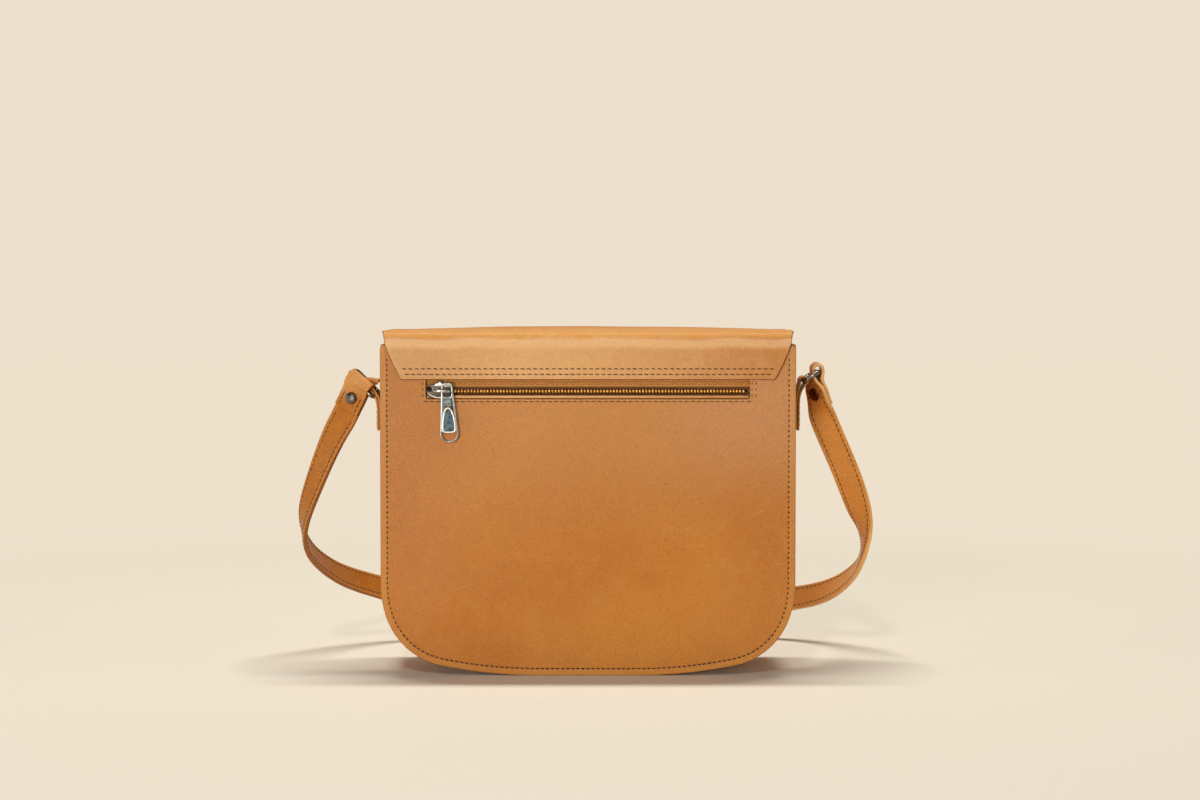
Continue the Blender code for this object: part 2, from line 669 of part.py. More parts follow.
def eased(t, span, last):
    # the strap keeps from twisting where it rounds a ring and under its rivets
    if span in (0, last):
        return t * t * (3 - 2 * t)
    if span == 1:
        return t * t
    if span == last - 1:
        return 1 - (1 - t) ** 2
    return t


def strap_frames():
    # smooth curve through the route's points, read as (length, place, along, face)
    keys = [strap_start("left")] + LEFT_ROUTE + [FRONT_POINT] + list(reversed(RIGHT_ROUTE))
    keys.append(strap_start("right"))
    spots = [Vector(spot) for spot, _ in keys]
    faces = [Vector(face).normalized() for _, face in keys]
    # mirrored end points make both ends of the curve run straight down
    before = Vector((spots[1].x, spots[1].y, 2 * spots[0].z - spots[1].z))
    after = Vector((spots[-2].x, spots[-2].y, 2 * spots[-1].z - spots[-2].z))
    padded = [before] + spots + [after]
    fine = []
    for i in range(len(keys) - 1):
        p0, p1, p2, p3 = padded[i:i + 4]
        bend = 2 * p0 - 5 * p1 + 4 * p2 - p3
        twist = 3 * p1 - p0 - 3 * p2 + p3
        steps = max(4, int((p2 - p1).length / 0.0015))
        for k in range(steps + (i == len(keys) - 2)):
            t = k / steps
            spot = 0.5 * (2 * p1 + (p2 - p0) * t + bend * t * t + twist * t ** 3)
            along = (p2 - p0) + bend * 2 * t + twist * 3 * t * t
            turn = eased(t, i, len(keys) - 2)
            fine.append((spot, along.normalized(), faces[i].slerp(faces[i + 1], turn, faces[i + 1])))
    frames = []
    length = 0.0
    for i, (spot, along, face) in enumerate(fine):
        if i:
            length += (spot - fine[i - 1][0]).length
        frames.append((length, spot, along, (face - along * face.dot(along)).normalized()))
    return frames


def frame_at(frames, length):
    if length <= 0:
        _, spot, along, face = frames[0]
        return spot + along * length, along, face
    total = frames[-1][0]
    if length >= total:
        _, spot, along, face = frames[-1]
        return spot + along * (length - total), along, face
    low, high = 0, len(frames) - 1
    while high - low > 1:
        middle = (low + high) // 2
        if frames[middle][0] <= length:
            low = middle
        else:
            high = middle
    first, second = frames[low], frames[high]
    share = (length - first[0]) / (second[0] - first[0])
    along = first[2].lerp(second[2], share).normalized()
    return first[1].lerp(second[1], share), along, first[3].lerp(second[3], share).normalized()


def strap_place(frames, from_right=False):
    # maps (along from the ring bar, out on the riveted face, across) into space
    total = frames[-1][0]

    def mapped(a, b, c):
        spot, along, face = frame_at(frames, total - a if from_right else a)
        return spot + face * b + along.cross(face) * c
    return mapped


def make_strap_end(side, frames, leather):
    # main layer up from the cut, round the ring's outer bar, and down again as the riveted lap
    mapped = strap_place(frames, side == "right")
    middle = LOOP_RADIUS + LAP_THICKNESS / 2
    near = BAR_OFFSET - middle
    far = BAR_OFFSET + middle
    lap = STRAP_THICKNESS / 2 + GAP + LAP_THICKNESS / 2
    path = [(CUT_AT - BAND_GAP, 0), (0.0245, 0), (0.0200, 0), (0.0155, 0), (0.0115, 0), (0.0080, 0.0),
            (0.0045, near * 0.35), (0.0010, near), (-0.0010, near)]
    thick = [STRAP_THICKNESS] * 5 + [0.0027, 0.0023, LAP_THICKNESS, LAP_THICKNESS]
    for degrees in (25, 50, 75, 105, 130, 155):
        turn = math.radians(degrees)
        path.append((-0.0013 - middle * math.sin(turn), BAR_OFFSET - middle * math.cos(turn)))
        thick.append(LAP_THICKNESS)
    path += [(-0.0010, far), (0.0010, far - 0.0001), (0.0045, far - (far - lap) * 0.45),
             (0.0080, far - (far - lap) * 0.85), (0.0115, lap), (0.0155, lap), (0.0200, lap), (LAP_END_AT, lap)]
    thick += [LAP_THICKNESS] * 8
    end = place(f"{side}_strap_end", ribbon(path, thick, STRAP_WIDTH, mapped), leather)
    hole = [(0, -0.006), (0.0016, -0.006), (0.0016, 0.010), (0, 0.010)]
    cutter = place(f"{side}_rivet_hole_cutter", turned(hole, 12, rivet_frame(mapped)), None)
    combine(end, cutter, "DIFFERENCE")


def rivet_frame(mapped):
    # +Z of the turned rivet pieces looks out of the riveted face
    spot = mapped(RIVET_AT, 0, 0)
    out = (mapped(RIVET_AT, 0.001, 0) - spot).normalized()
    across = (mapped(RIVET_AT, 0, 0.001) - spot).normalized()
    return frame_matrix(spot, across, out.cross(across), out)


def make_rivet(side, frames, nickel, dark):
    # a tubular post with its flange on the inner face, and the domed cap pressed over its tip
    turn = rivet_frame(strap_place(frames, side == "right"))
    seat = STRAP_THICKNESS / 2 + GAP + LAP_THICKNESS + 0.0006
    back = -STRAP_THICKNESS / 2 - 0.0006
    post = [(0, back - 0.0008), (RIVET_RADIUS * 0.8, back - 0.0008), (RIVET_RADIUS + 0.0003, back - 0.0003),
            (RIVET_RADIUS + 0.0003, back), (0.0011, back), (0.0011, seat + 0.0004), (0, seat + 0.0004)]
    place(f"{side}_rivet_post", turned(post, 20, turn), dark, True)
    cap = [(0, seat + 0.0007), (0.0015, seat + 0.0007), (0.0015, seat), (RIVET_RADIUS, seat),
           (RIVET_RADIUS, seat + 0.0003), (RIVET_RADIUS * 0.85, seat + 0.0010),
           (RIVET_RADIUS * 0.5, seat + 0.0015), (0, seat + 0.0017)]
    place(f"{side}_rivet_cap", turned(cap, 20, turn), nickel, True)


def make_strap_band(frames, leather):
    # eight-sided strip with broken edges from cut to cut
    total = frames[-1][0]
    start, end = CUT_AT, total - CUT_AT
    count = 66
    half_w, half_t, ease = STRAP_WIDTH / 2, STRAP_THICKNESS / 2, 0.0005
    corners = [(half_t, -half_w + ease), (half_t, half_w - ease), (half_t - ease, half_w),
               (-half_t + ease, half_w), (-half_t, half_w - ease), (-half_t, -half_w + ease),
               (-half_t + ease, -half_w), (half_t - ease, -half_w)]
    mapped = strap_place(frames)
    sections = []
    for i in range(count + 1):
        a = start + (end - start) * i / count
        sections.append([mapped(a, b, c) for b, c in corners])
    place("strap_band", loft(sections), leather, True)
    print(f"strap route {total * 1000:.0f} mm")


def main():
    clear_objects()
    leather = material("tan_leather", TAN_LEATHER, 0.45)
    inner = material("inner_leather", INNER_LEATHER, 0.75)
    tape = material("zip_tape", (0.42, 0.20, 0.07), 0.85)
    teeth = material("antique_brass", (0.55, 0.33, 0.12), 0.35, 1.0)
    nickel = material("nickel", (0.72, 0.71, 0.68), 0.25, 1.0)
    dark = material("dark_rivet", (0.16, 0.08, 0.04), 0.45, 0.6)
    cloth = material("pocket_cloth", (0.45, 0.30, 0.18), 0.9)
    make_panels(leather)
    make_gusset(leather)
    make_back_tab(leather)
    make_flap_fold(leather)
    make_flap_top(leather)
    make_flap_front(leather, inner)
    make_snap(nickel)
    make_zip_tapes(tape)
    make_zip_teeth(teeth)
    make_zip_stops(teeth)
    make_slider(nickel)
    make_puller(nickel)
    make_zip_pocket(cloth)
    frames = strap_frames()
    for side in SIDES:
        make_ring(side, nickel)
        make_side_tab(side, leather)
        make_strap_end(side, frames, leather)
        make_rivet(side, frames, nickel, dark)
    make_strap_band(frames, leather)


main()
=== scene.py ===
# Leather flap bag: tan leather with sewn edges, a zip in the back and a riveted shoulder strap.
# Metres, +Z up. The back of the bag looks towards -Y and stands on z = 0.
import math
import random

import bmesh
import bpy
import numpy as np
from mathutils import Matrix, Vector, noise
from mathutils.geometry import delaunay_2d_cdt


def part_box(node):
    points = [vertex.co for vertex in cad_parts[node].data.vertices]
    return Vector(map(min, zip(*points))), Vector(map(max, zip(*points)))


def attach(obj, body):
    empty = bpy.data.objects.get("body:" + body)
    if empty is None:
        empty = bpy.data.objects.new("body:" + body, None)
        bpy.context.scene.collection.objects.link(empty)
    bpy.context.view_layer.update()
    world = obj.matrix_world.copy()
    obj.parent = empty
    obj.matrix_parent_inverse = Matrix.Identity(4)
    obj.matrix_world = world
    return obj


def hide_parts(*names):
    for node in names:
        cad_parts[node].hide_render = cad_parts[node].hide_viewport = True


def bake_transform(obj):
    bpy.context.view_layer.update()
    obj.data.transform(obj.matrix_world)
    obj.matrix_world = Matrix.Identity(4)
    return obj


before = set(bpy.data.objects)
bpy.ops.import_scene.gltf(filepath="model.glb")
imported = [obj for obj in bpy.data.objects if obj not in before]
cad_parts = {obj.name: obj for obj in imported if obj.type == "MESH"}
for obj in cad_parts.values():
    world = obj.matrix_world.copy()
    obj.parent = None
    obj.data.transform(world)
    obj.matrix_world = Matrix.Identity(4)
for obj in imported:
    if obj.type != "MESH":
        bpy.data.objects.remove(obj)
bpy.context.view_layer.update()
random.seed(7)


# Camera: level with the top of the bag, looking slightly down

cameraView = {"place": (0.0078, -1.539, 0.248), "tilt": 87.4, "lens": 69.45}


def placeObject(name, data):
    thing = bpy.data.objects.new(name, data)
    bpy.context.scene.collection.objects.link(thing)
    return thing


def makeCamera():
    data = bpy.data.cameras.new("bag_camera")
    data.lens = cameraView["lens"]
    data.sensor_width = 36.0
    camera = placeObject("bag_camera", data)
    camera.location = cameraView["place"]
    camera.rotation_euler = (math.radians(cameraView["tilt"]), 0, 0)
    bpy.context.scene.camera = camera


makeCamera()
print("camera set")


# Colours are given as they look, 0 to 255, and turned into linear light

def paint(colour):
    shades = [channel / 255 for channel in colour]
    return tuple(s / 12.92 if s <= 0.04045 else ((s + 0.055) / 1.055) ** 2.4 for s in shades) + (1.0,)


# Short forms for shader nodes

def setInputs(tree, node, inputs):
    for key, value in inputs.items():
        if isinstance(value, bpy.types.NodeSocket):
            tree.links.new(value, node.inputs[key])
        else:
            node.inputs[key].default_value = value
    return node


def addNode(tree, kind, inputs, **settings):
    node = tree.nodes.new("ShaderNode" + kind)
    for key, value in settings.items():
        setattr(node, key, value)
    return setInputs(tree, node, inputs).outputs


def reckon(tree, operation, first, second=0.0, clamp=False):
    return addNode(tree, "Math", {0: first, 1: second}, operation=operation, use_clamp=clamp)[0]


def times(tree, first, second):
    return reckon(tree, "MULTIPLY", first, second)


def apart(tree, first, second):
    return reckon(tree, "ABSOLUTE", reckon(tree, "SUBTRACT", first, second))


def blendColour(tree, share, first, second, way="MIX"):
    # a colour is another node's output, or three values as they look
    first, second = [c if isinstance(c, bpy.types.NodeSocket) else paint(c) for c in (first, second)]
    return addNode(tree, "Mix", {0: share, 6: first, 7: second}, data_type="RGBA", blend_type=way)[2]


def rescale(tree, value, low, high, toLow=0.0, toHigh=1.0):
    return addNode(tree, "MapRange", {0: value, 1: low, 2: high, 3: toLow, 4: toHigh},
                   interpolation_type="SMOOTHSTEP")[0]


def noiseValue(tree, place, scale, detail=3.0, rough=0.5, distortion=0.0):
    return addNode(tree, "TexNoise", {"Vector": place, "Scale": scale, "Detail": detail, "Roughness": rough,
                                      "Distortion": distortion})[0]


def stretch(tree, place, factors):
    return addNode(tree, "VectorMath", {0: place, 1: factors}, operation="MULTIPLY")[0]


def readAttribute(tree, name, part="Fac"):
    return addNode(tree, "Attribute", {}, attribute_name=name, attribute_type="GEOMETRY")[part]


def ownPlace(tree, fromNode=False):
    # place on the piece at rest, whatever its pose
    return addNode(tree, "TexCoord", {})["Object"] if fromNode else readAttribute(tree, "restPlace", "Vector")


def newGroup(name, inputs, outputs):
    tree = bpy.data.node_groups.new(name, "ShaderNodeTree")
    for label, kind, value in inputs:
        socket = tree.interface.new_socket(label, in_out="INPUT", socket_type="NodeSocket" + kind)
        if value is not None:
            socket.default_value = value
    for label in outputs:
        tree.interface.new_socket(label, in_out="OUTPUT", socket_type="NodeSocketFloat")
    return tree, tree.nodes.new("NodeGroupInput").outputs, tree.nodes.new("NodeGroupOutput")


def useGroup(tree, group, inputs):
    return addNode(tree, "Group", inputs, node_tree=groups[group])


def newLook(name):
    look = bpy.data.materials.new(name)
    look.use_nodes = True
    return look, look.node_tree, look.node_tree.nodes["Principled BSDF"]


def finishLook(look, colour, rough, height, strength, distance):
    tree = look.node_tree
    bump = addNode(tree, "Bump", {"Strength": strength, "Distance": distance, "Height": height})[0]
    setInputs(tree, tree.nodes["Principled BSDF"], {"Base Color": colour, "Roughness": rough, "Normal": bump})
    return look


# Effects that several finishes share

def grainGroup():
    # fine hide grain, soft mottling, broad shade, pores and long thin scratches, all from a place in metres
    tree, source, sink = newGroup("hideGrain", (("Place", "Vector", None), ("Grain Size", "Float", 0.0009)),
                                  ("Height", "Mottle", "Broad", "Scratch", "Pores"))
    place = source["Place"]
    perMetre = reckon(tree, "DIVIDE", 1.0, source["Grain Size"])
    cells = addNode(tree, "TexVoronoi", {"Vector": place, "Scale": perMetre, "Randomness": 1.0},
                    feature="DISTANCE_TO_EDGE")["Distance"]
    cracks = rescale(tree, cells, 0.0, 0.12)
    speckle = noiseValue(tree, place, 1250.0, 3.0, 0.75)
    scratch = 0.0
    for turn, seed in ((0.86, 3.1), (-0.62, 11.7), (0.25, 23.9)):
        tilted = addNode(tree, "VectorRotate", {"Vector": place, "Angle": turn, "Center": (0, 0, seed)},
                         rotation_type="Y_AXIS")[0]
        line = noiseValue(tree, stretch(tree, tilted, (14.0, 14.0, 420.0)), 1.0, 1.0, 0.5, 0.35)
        thin = rescale(tree, apart(tree, line, 0.5), 0.004, 0.0)
        patch = rescale(tree, noiseValue(tree, tilted, 26.0, 1.0), 0.56, 0.68)
        scratch = reckon(tree, "MAXIMUM", times(tree, thin, patch), scratch)
    setInputs(tree, sink, {
        "Height": reckon(tree, "ADD", times(tree, cracks, 0.40), times(tree, speckle, 0.60)),
        "Mottle": noiseValue(tree, place, 120.0, 4.0, 0.62),
        "Broad": noiseValue(tree, place, 11.0, 2.0),
        "Scratch": scratch,
        "Pores": rescale(tree, noiseValue(tree, place, 1500.0, 1.0), 0.60, 0.72),
    })
    return tree


def rimGroup():
    # burnished band beside a cut edge, and the sunk line that a row of stitches pulls into the hide
    tree, source, sink = newGroup("cutRim", (("Inset", "Float", 0.02), ("Wall", "Float", 0.0),
                                             ("Seam", "Float", 0.0045), ("Band", "Float", 0.0008)),
                                  ("Dark", "Groove", "Outside"))
    inset, seam = source["Inset"], source["Seam"]
    beside = rescale(tree, inset, 0.0, source["Band"], 1.0, 0.0)
    setInputs(tree, sink, {
        "Dark": reckon(tree, "MAXIMUM", times(tree, beside, 0.45), source["Wall"], True),
        "Groove": rescale(tree, apart(tree, inset, seam), 0.0001, 0.0009, 1.0, 0.0),
        "Outside": rescale(tree, reckon(tree, "SUBTRACT", seam, inset), -0.0002, 0.0006),
    })
    return tree


def weaveGroup():
    # over-and-under threads along two directions of the surface; Shade paints the threads darker where they
    # pass under: painted shade
    tree, source, sink = newGroup("plainWeave", (("Across", "Float", None), ("Along", "Float", None),
                                                 ("Thread", "Float", 0.0006)), ("Height", "Shade"))
    waves = []
    for label in ("Across", "Along"):
        turn = reckon(tree, "DIVIDE", source[label], source["Thread"])
        waves.append(reckon(tree, "SINE", times(tree, turn, math.pi)))
    crossed = times(tree, *waves)
    setInputs(tree, sink, {"Height": rescale(tree, crossed, -1.0, 1.0),
                           "Shade": rescale(tree, crossed, -0.9, 0.6, 0.55, 1.0)})
    return tree


def handledGroup():
    # hairlines, finger marks and pits on metal
    tree, source, sink = newGroup("handledMetal", (("Place", "Vector", None), ("Hairline", "Float", 0.00035)),
                                  ("Lines", "Smudge", "Pits"))
    place = source["Place"]
    fine = reckon(tree, "DIVIDE", 1.0, source["Hairline"])
    spread = addNode(tree, "CombineXYZ", {0: fine, 1: fine, 2: times(tree, fine, 0.06)})[0]
    setInputs(tree, sink, {
        "Lines": noiseValue(tree, stretch(tree, place, spread), 1.0, 2.0),
        "Smudge": noiseValue(tree, place, 420.0),
        "Pits": rescale(tree, noiseValue(tree, place, 1900.0, 2.0), 0.62, 0.75),
    })
    return tree


groups = {"grain": grainGroup(), "rim": rimGroup(), "weave": weaveGroup(), "handled": handledGroup()}
print("shared effects ready")


# Finishes. A hide's shades are painted light and shade that change slowly across a piece: (((axis, from, to),
# ...), colour, share)

hide = {
    "mid": (195, 123, 36), "deep": (185, 110, 22), "pale": (204, 142, 68),
    "edge": (96, 52, 22), "strip": (214, 152, 70), "scratch": (232, 180, 112),
    "roughness": 0.42, "grainSize": 0.0013, "grainy": 1.0, "seam": 0.0045, "coat": 0.06, "gloss": 0.28,
    "shades": (), "edgeRight": None, "into": None,
}
noSeam = -0.01


def hideLook(name, **changes):
    facts = {**hide, **changes}
    look, tree, shader = newLook(name)
    place = ownPlace(tree)
    axes = addNode(tree, "SeparateXYZ", {0: place})
    grain = useGroup(tree, "grain", {"Place": place, "Grain Size": facts["grainSize"]})
    rim = useGroup(tree, "rim", {"Inset": readAttribute(tree, "inset"), "Wall": readAttribute(tree, "wall"),
                                 "Seam": facts["seam"]})
    broad = rescale(tree, grain["Broad"], 0.34, 0.66)
    colour = blendColour(tree, broad, facts["deep"], facts["mid"])
    # the shades paint light and shade across the piece; noise softens their edges
    drift = times(tree, reckon(tree, "SUBTRACT", noiseValue(tree, place, 28.0), 0.5), 0.005)
    for spans, tone, share in facts["shades"]:
        for axis, start, end in spans:
            share = times(tree, rescale(tree, reckon(tree, "ADD", axes[axis], drift), start, end), share)
        colour = blendColour(tree, share, colour, tone)
    paler = facts["pale"]
    if facts["into"]:
        # the tone, painted light and shade included, passes into the plain hide along Y
        passed = rescale(tree, axes["Y"], *facts["into"])
        colour = blendColour(tree, passed, colour, blendColour(tree, broad, hide["deep"], hide["mid"]))
        paler = blendColour(tree, passed, paler, hide["pale"])
    colour = blendColour(tree, times(tree, rescale(tree, grain["Mottle"], 0.42, 0.72), 0.20), colour, paler)
    colour = blendColour(tree, times(tree, grain["Pores"], 0.16), colour, hide["edge"])
    # the grain's height is also painted in: lower grain darker (painted shade), higher grain paler, over its
    # own speckled tone
    shade = rescale(tree, grain["Height"], 0.25, 0.80, 1 - 0.19 * facts["grainy"], 1 + 0.11 * facts["grainy"])
    shadeColour = addNode(tree, "CombineColor", {0: shade, 1: shade, 2: shade})[0]
    colour = blendColour(tree, 1.0, colour, shadeColour, "MULTIPLY")
    cut = facts["edge"]
    # the cut edges turn paler towards the right: painted light on that side
    if facts["edgeRight"]:
        cut = blendColour(tree, rescale(tree, axes["X"], 0.10, 0.13), cut, facts["edgeRight"])
    for mask, share, tone in ((grain["Scratch"], 0.42, hide["scratch"]),
                              (rim["Outside"], 0.24, hide["strip"]),
                              (rim["Groove"], 0.10, hide["edge"]), (rim["Dark"], 1.0, cut)):
        colour = blendColour(tree, times(tree, mask, share), colour, tone)
    rough = rescale(tree, grain["Mottle"], 0.30, 0.70, facts["roughness"] - 0.07, facts["roughness"] + 0.10)
    rough = reckon(tree, "ADD", rough, times(tree, grain["Scratch"], 0.12))
    height = reckon(tree, "SUBTRACT", grain["Height"], times(tree, rim["Groove"], 0.9))
    height = reckon(tree, "ADD", height, times(tree, grain["Mottle"], 1.1))
    height = reckon(tree, "SUBTRACT", height, times(tree, grain["Scratch"], 0.35))
    setInputs(tree, shader, {"Coat Weight": facts["coat"], "Coat Roughness": 0.34,
                             "Specular IOR Level": facts["gloss"]})
    return finishLook(look, colour, rough, height, 0.55, 0.00022)


def suedeLook(name, mid, deep):
    look, tree, _ = newLook(name)
    place = ownPlace(tree)
    nap = noiseValue(tree, place, 1700.0, 4.0, 0.7)
    colour = blendColour(tree, rescale(tree, noiseValue(tree, place, 42.0), 0.35, 0.65), deep, mid)
    colour = blendColour(tree, times(tree, nap, 0.35), colour, [channel * 0.72 for channel in mid])
    colour = blendColour(tree, times(tree, readAttribute(tree, "wall"), 0.9), colour, hide["edge"])
    return finishLook(look, colour, rescale(tree, nap, 0.2, 0.8, 0.82, 0.95), nap, 0.6, 0.0003)


def threadLook(name, colour, dark):
    look, tree, _ = newLook(name)
    place = ownPlace(tree)
    twist = noiseValue(tree, place, 3200.0, 2.0)
    mixed = blendColour(tree, rescale(tree, twist, 0.35, 0.65), dark, colour)
    mixed = blendColour(tree, times(tree, noiseValue(tree, place, 160.0, 1.0), 0.35), mixed, dark)
    return finishLook(look, mixed, rescale(tree, twist, 0.3, 0.7, 0.55, 0.8), twist, 0.5, 0.0001)


def clothLook(name, colour, dark, thread, paintedShadeAt=None):
    # the height of the zip teeth: the cloth close above and below it is painted dark, a painted shade beside
    # the teeth
    look, tree, _ = newLook(name)
    place = ownPlace(tree)
    axes = addNode(tree, "SeparateXYZ", {0: place})
    woven = useGroup(tree, "weave", {"Across": axes["X"], "Along": axes["Z"], "Thread": thread})
    fuzz = noiseValue(tree, place, 900.0, 3.0, 0.6)
    # the weave's Shade paints the under-crossings dark: painted shade
    shade = times(tree, woven["Shade"], rescale(tree, fuzz, 0.3, 0.7, 0.82, 1.0))
    mixed = blendColour(tree, shade, dark, colour)
    if paintedShadeAt:
        # painted shade on the cloth beside the teeth
        near = rescale(tree, apart(tree, axes["Z"], paintedShadeAt), 0.0032, 0.0022, 0.0, 0.85)
        mixed = blendColour(tree, near, mixed, (64, 34, 12))
    return finishLook(look, mixed, rescale(tree, fuzz, 0.3, 0.7, 0.78, 0.94), woven["Height"], 0.8, 0.00018)


def metalLook(name, colour, tarnish, rough, amount, fromNode=False):
    look, tree, shader = newLook(name)
    marks = useGroup(tree, "handled", {"Place": ownPlace(tree, fromNode)})
    film = times(tree, rescale(tree, marks["Smudge"], 0.42, 0.68), amount)
    tinted = blendColour(tree, film, colour, tarnish)
    tinted = blendColour(tree, times(tree, marks["Pits"], 0.5 * amount), tinted, tarnish)
    shader.inputs["Metallic"].default_value = 1.0
    worn = rescale(tree, marks["Smudge"], 0.35, 0.65, rough - 0.04, rough + 0.08)
    worn = reckon(tree, "ADD", worn, times(tree, marks["Lines"], 0.06))
    return finishLook(look, tinted, worn, marks["Lines"], 0.12, 0.00002)


# painted light and shade on the panels: paler and pinker towards the top and to the upper right of the middle
# (painted sheen), darker towards the left side above the bottom and towards the right side below the top
# (painted shade)
panelPaintedLight = (
    ((("Z", 0.070, 0.180),), (194, 131, 68), 0.85),
    ((("X", -0.04, -0.12), ("Z", 0.03, 0.08)), (176, 104, 36), 0.55),
    ((("X", 0.04, 0.12), ("Z", 0.17, 0.11)), (182, 110, 42), 0.50),
    ((("X", 0.02, 0.10), ("Z", 0.10, 0.17)), (194, 137, 92), 0.55),
)
# painted light and shade on the flap: its tab darker towards both sides (painted shade), a pale band just
# under the back fold (painted highlight), and the top of the fold a deeper orange for the light from above
# falling on it
flapPaintedLight = (
    ((("X", -0.01, 0.13),), (184, 116, 52), 0.75),
    ((("X", -0.05, -0.13),), (197, 145, 98), 0.6),
    ((("Z", 0.2115, 0.2160), ("Z", 0.2205, 0.2182)), (238, 192, 140), 0.6),
    ((("Z", 0.2184, 0.2224),), (205, 138, 48), 0.85),
)
# painted light and shade on the strap: darker on the left and paler on the right, a painted shadow under the
# fold at the right ring and a painted highlight by the fold at the left ring
strapPaintedLight = (
    ((("X", -0.05, -0.15),), (168, 98, 18), 0.8),
    ((("X", 0.05, 0.15),), (208, 136, 60), 0.85),
    ((("X", 0.130, 0.142), ("Z", 0.160, 0.186)), (146, 84, 30), 0.60),
    ((("X", -0.130, -0.140), ("Z", 0.176, 0.190)), (216, 160, 92), 0.70),
)
looks = {
    "panel": hideLook("panel_leather", edge=(158, 102, 52), shades=panelPaintedLight),
    "flap": hideLook("flap_leather", mid=(219, 167, 109), deep=(209, 154, 93), pale=(230, 184, 130),
                     seam=noSeam, coat=0.05, roughness=0.48, gloss=0.18, grainy=0.7, into=(-0.036, -0.006),
                     shades=flapPaintedLight),
    "leaf": hideLook("leaf_leather", seam=0.0050, roughness=0.48, gloss=0.18, coat=0.05, grainy=0.7),
    "gusset": hideLook("gusset_leather", mid=(194, 122, 52), deep=(180, 106, 38), seam=noSeam,
                       roughness=0.48),
    "strap": hideLook("strap_leather", mid=(188, 114, 36), deep=(176, 102, 26), pale=(200, 136, 66),
                      seam=0.0026, edge=(150, 92, 40), edgeRight=(226, 170, 104), gloss=0.2, coat=0.03,
                      shades=strapPaintedLight),
    "tab": hideLook("side_tab_leather", mid=(196, 132, 64), deep=(182, 114, 44), seam=0.0025,
                    edge=(190, 132, 66)),
    "suede": suedeLook("inner_suede", (176, 124, 78), (158, 106, 62)),
    "thread": threadLook("sewing_thread", (92, 50, 20), (56, 28, 10)),
    "cord": threadLook("tape_cord", (222, 162, 84), (184, 120, 52)),
    "hole": threadLook("stitch_hole_painted_shade", (50, 22, 8), (34, 14, 4)),
    "tape": clothLook("zip_tape_weave", (208, 138, 62), (112, 62, 22), 0.0017, paintedShadeAt=0.1857),
    "pocket": clothLook("pocket_weave", (190, 150, 104), (140, 104, 68), 0.0005),
    "brass": metalLook("zip_brass", (240, 182, 96), (170, 110, 48), 0.36, 0.3),
    "brassPaintedShade": metalLook("zip_brass_painted_shade", (120, 74, 30), (70, 40, 16), 0.45, 0.5),
    "nickel": metalLook("polished_nickel", (184, 182, 176), (108, 102, 94), 0.26, 0.50),
    "frame": metalLook("puller_nickel", (150, 153, 152), (84, 84, 80), 0.27, 0.50),
    "ring": metalLook("ring_nickel", (132, 124, 114), (58, 50, 42), 0.24, 0.5),
    "nickelPaintedShade": metalLook("nickel_painted_shade", (84, 76, 68), (50, 42, 36), 0.34, 0.5),
    "satin": metalLook("satin_nickel", (84, 99, 106), (54, 68, 76), 0.46, 0.9),
    "rim": metalLook("nickel_painted_highlight", (222, 214, 200), (150, 140, 122), 0.30, 0.45),
    "band": metalLook("neck_band_nickel", (112, 122, 120), (78, 90, 92), 0.42, 0.6),
    "rivet": metalLook("rivet_nickel", (118, 112, 104), (66, 60, 54), 0.36, 0.6),
    "brown": metalLook("browned_rivet", (104, 58, 30), (60, 32, 16), 0.40, 0.6),
    "dark": metalLook("slider_throat_painted_shade", (44, 38, 34), (26, 22, 20), 0.55, 0.5),
    "snap": metalLook("snap_nickel", (206, 200, 190), (140, 126, 108), 0.24, 0.5, fromNode=True),
    "stop": metalLook("stop_brass", (200, 148, 84), (96, 58, 24), 0.32, 0.6, fromNode=True),
}
print(f"{len(looks)} finishes mixed")


# Meshes. Every vertex remembers its place at rest, its distance from the cut edge, and whether it is
# on the cut.

farFromEdge = 0.02


def makePiece(name, points, faces, coats, faceCoat=None, inset=None, wall=None):
    mesh = bpy.data.meshes.new(name)
    places = [tuple(p) for p in points]
    mesh.from_pydata(places, [], faces)
    rest = mesh.attributes.new("restPlace", "FLOAT_VECTOR", "POINT")
    rest.data.foreach_set("vector", np.array(places, np.float32).ravel())
    for label, values, usual in (("inset", inset, farFromEdge), ("wall", wall, 0.0)):
        kept = mesh.attributes.new(label, "FLOAT", "POINT")
        kept.data.foreach_set("value", np.array(values or [usual] * len(places), np.float32))
    if faceCoat is not None:
        mesh.polygons.foreach_set("material_index", np.array(faceCoat, np.int32))
    bm = bmesh.new()
    bm.from_mesh(mesh)
    bmesh.ops.remove_doubles(bm, verts=bm.verts, dist=1e-6)
    bmesh.ops.recalc_face_normals(bm, faces=bm.faces)
    bm.to_mesh(mesh)
    bm.free()
    mesh.shade_smooth()
    mesh.set_sharp_from_angle(angle=math.radians(52))
    for coat in coats:
        mesh.materials.append(looks[coat])
    return placeObject(name, mesh)


def settle(piece, body, slot, *nodes):
    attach(piece, body)
    if nodes:
        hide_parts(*nodes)


def settleBent(piece, bodies, zone, slot, *nodes):
    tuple(zone[0])
    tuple(zone[1])
    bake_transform(piece)
    if nodes:
        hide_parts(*nodes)


def arcPoints(centre, radius, start, end, steps):
    angles = [math.radians(start + (end - start) * i / steps) for i in range(steps + 1)]
    return [(centre[0] + radius * math.cos(a), centre[1] + radius * math.sin(a)) for a in angles]


def around(count, power=1.0):
    # (cosine, sine) at even steps round a circle; a power under 1 squares it off
    ring = []
    for k in range(count):
        t = 2 * math.pi * k / count
        ring.append([math.copysign(abs(c) ** power, c) for c in (math.cos(t), math.sin(t))])
    return ring


def within(value):
    return min(1.0, max(0.0, value))


def mirrored(right):
    # both halves of a shape from its right one, without doubling the points on the middle line
    return right + [(-x, y) for x, y in reversed(right) if abs(x) > 1e-6]


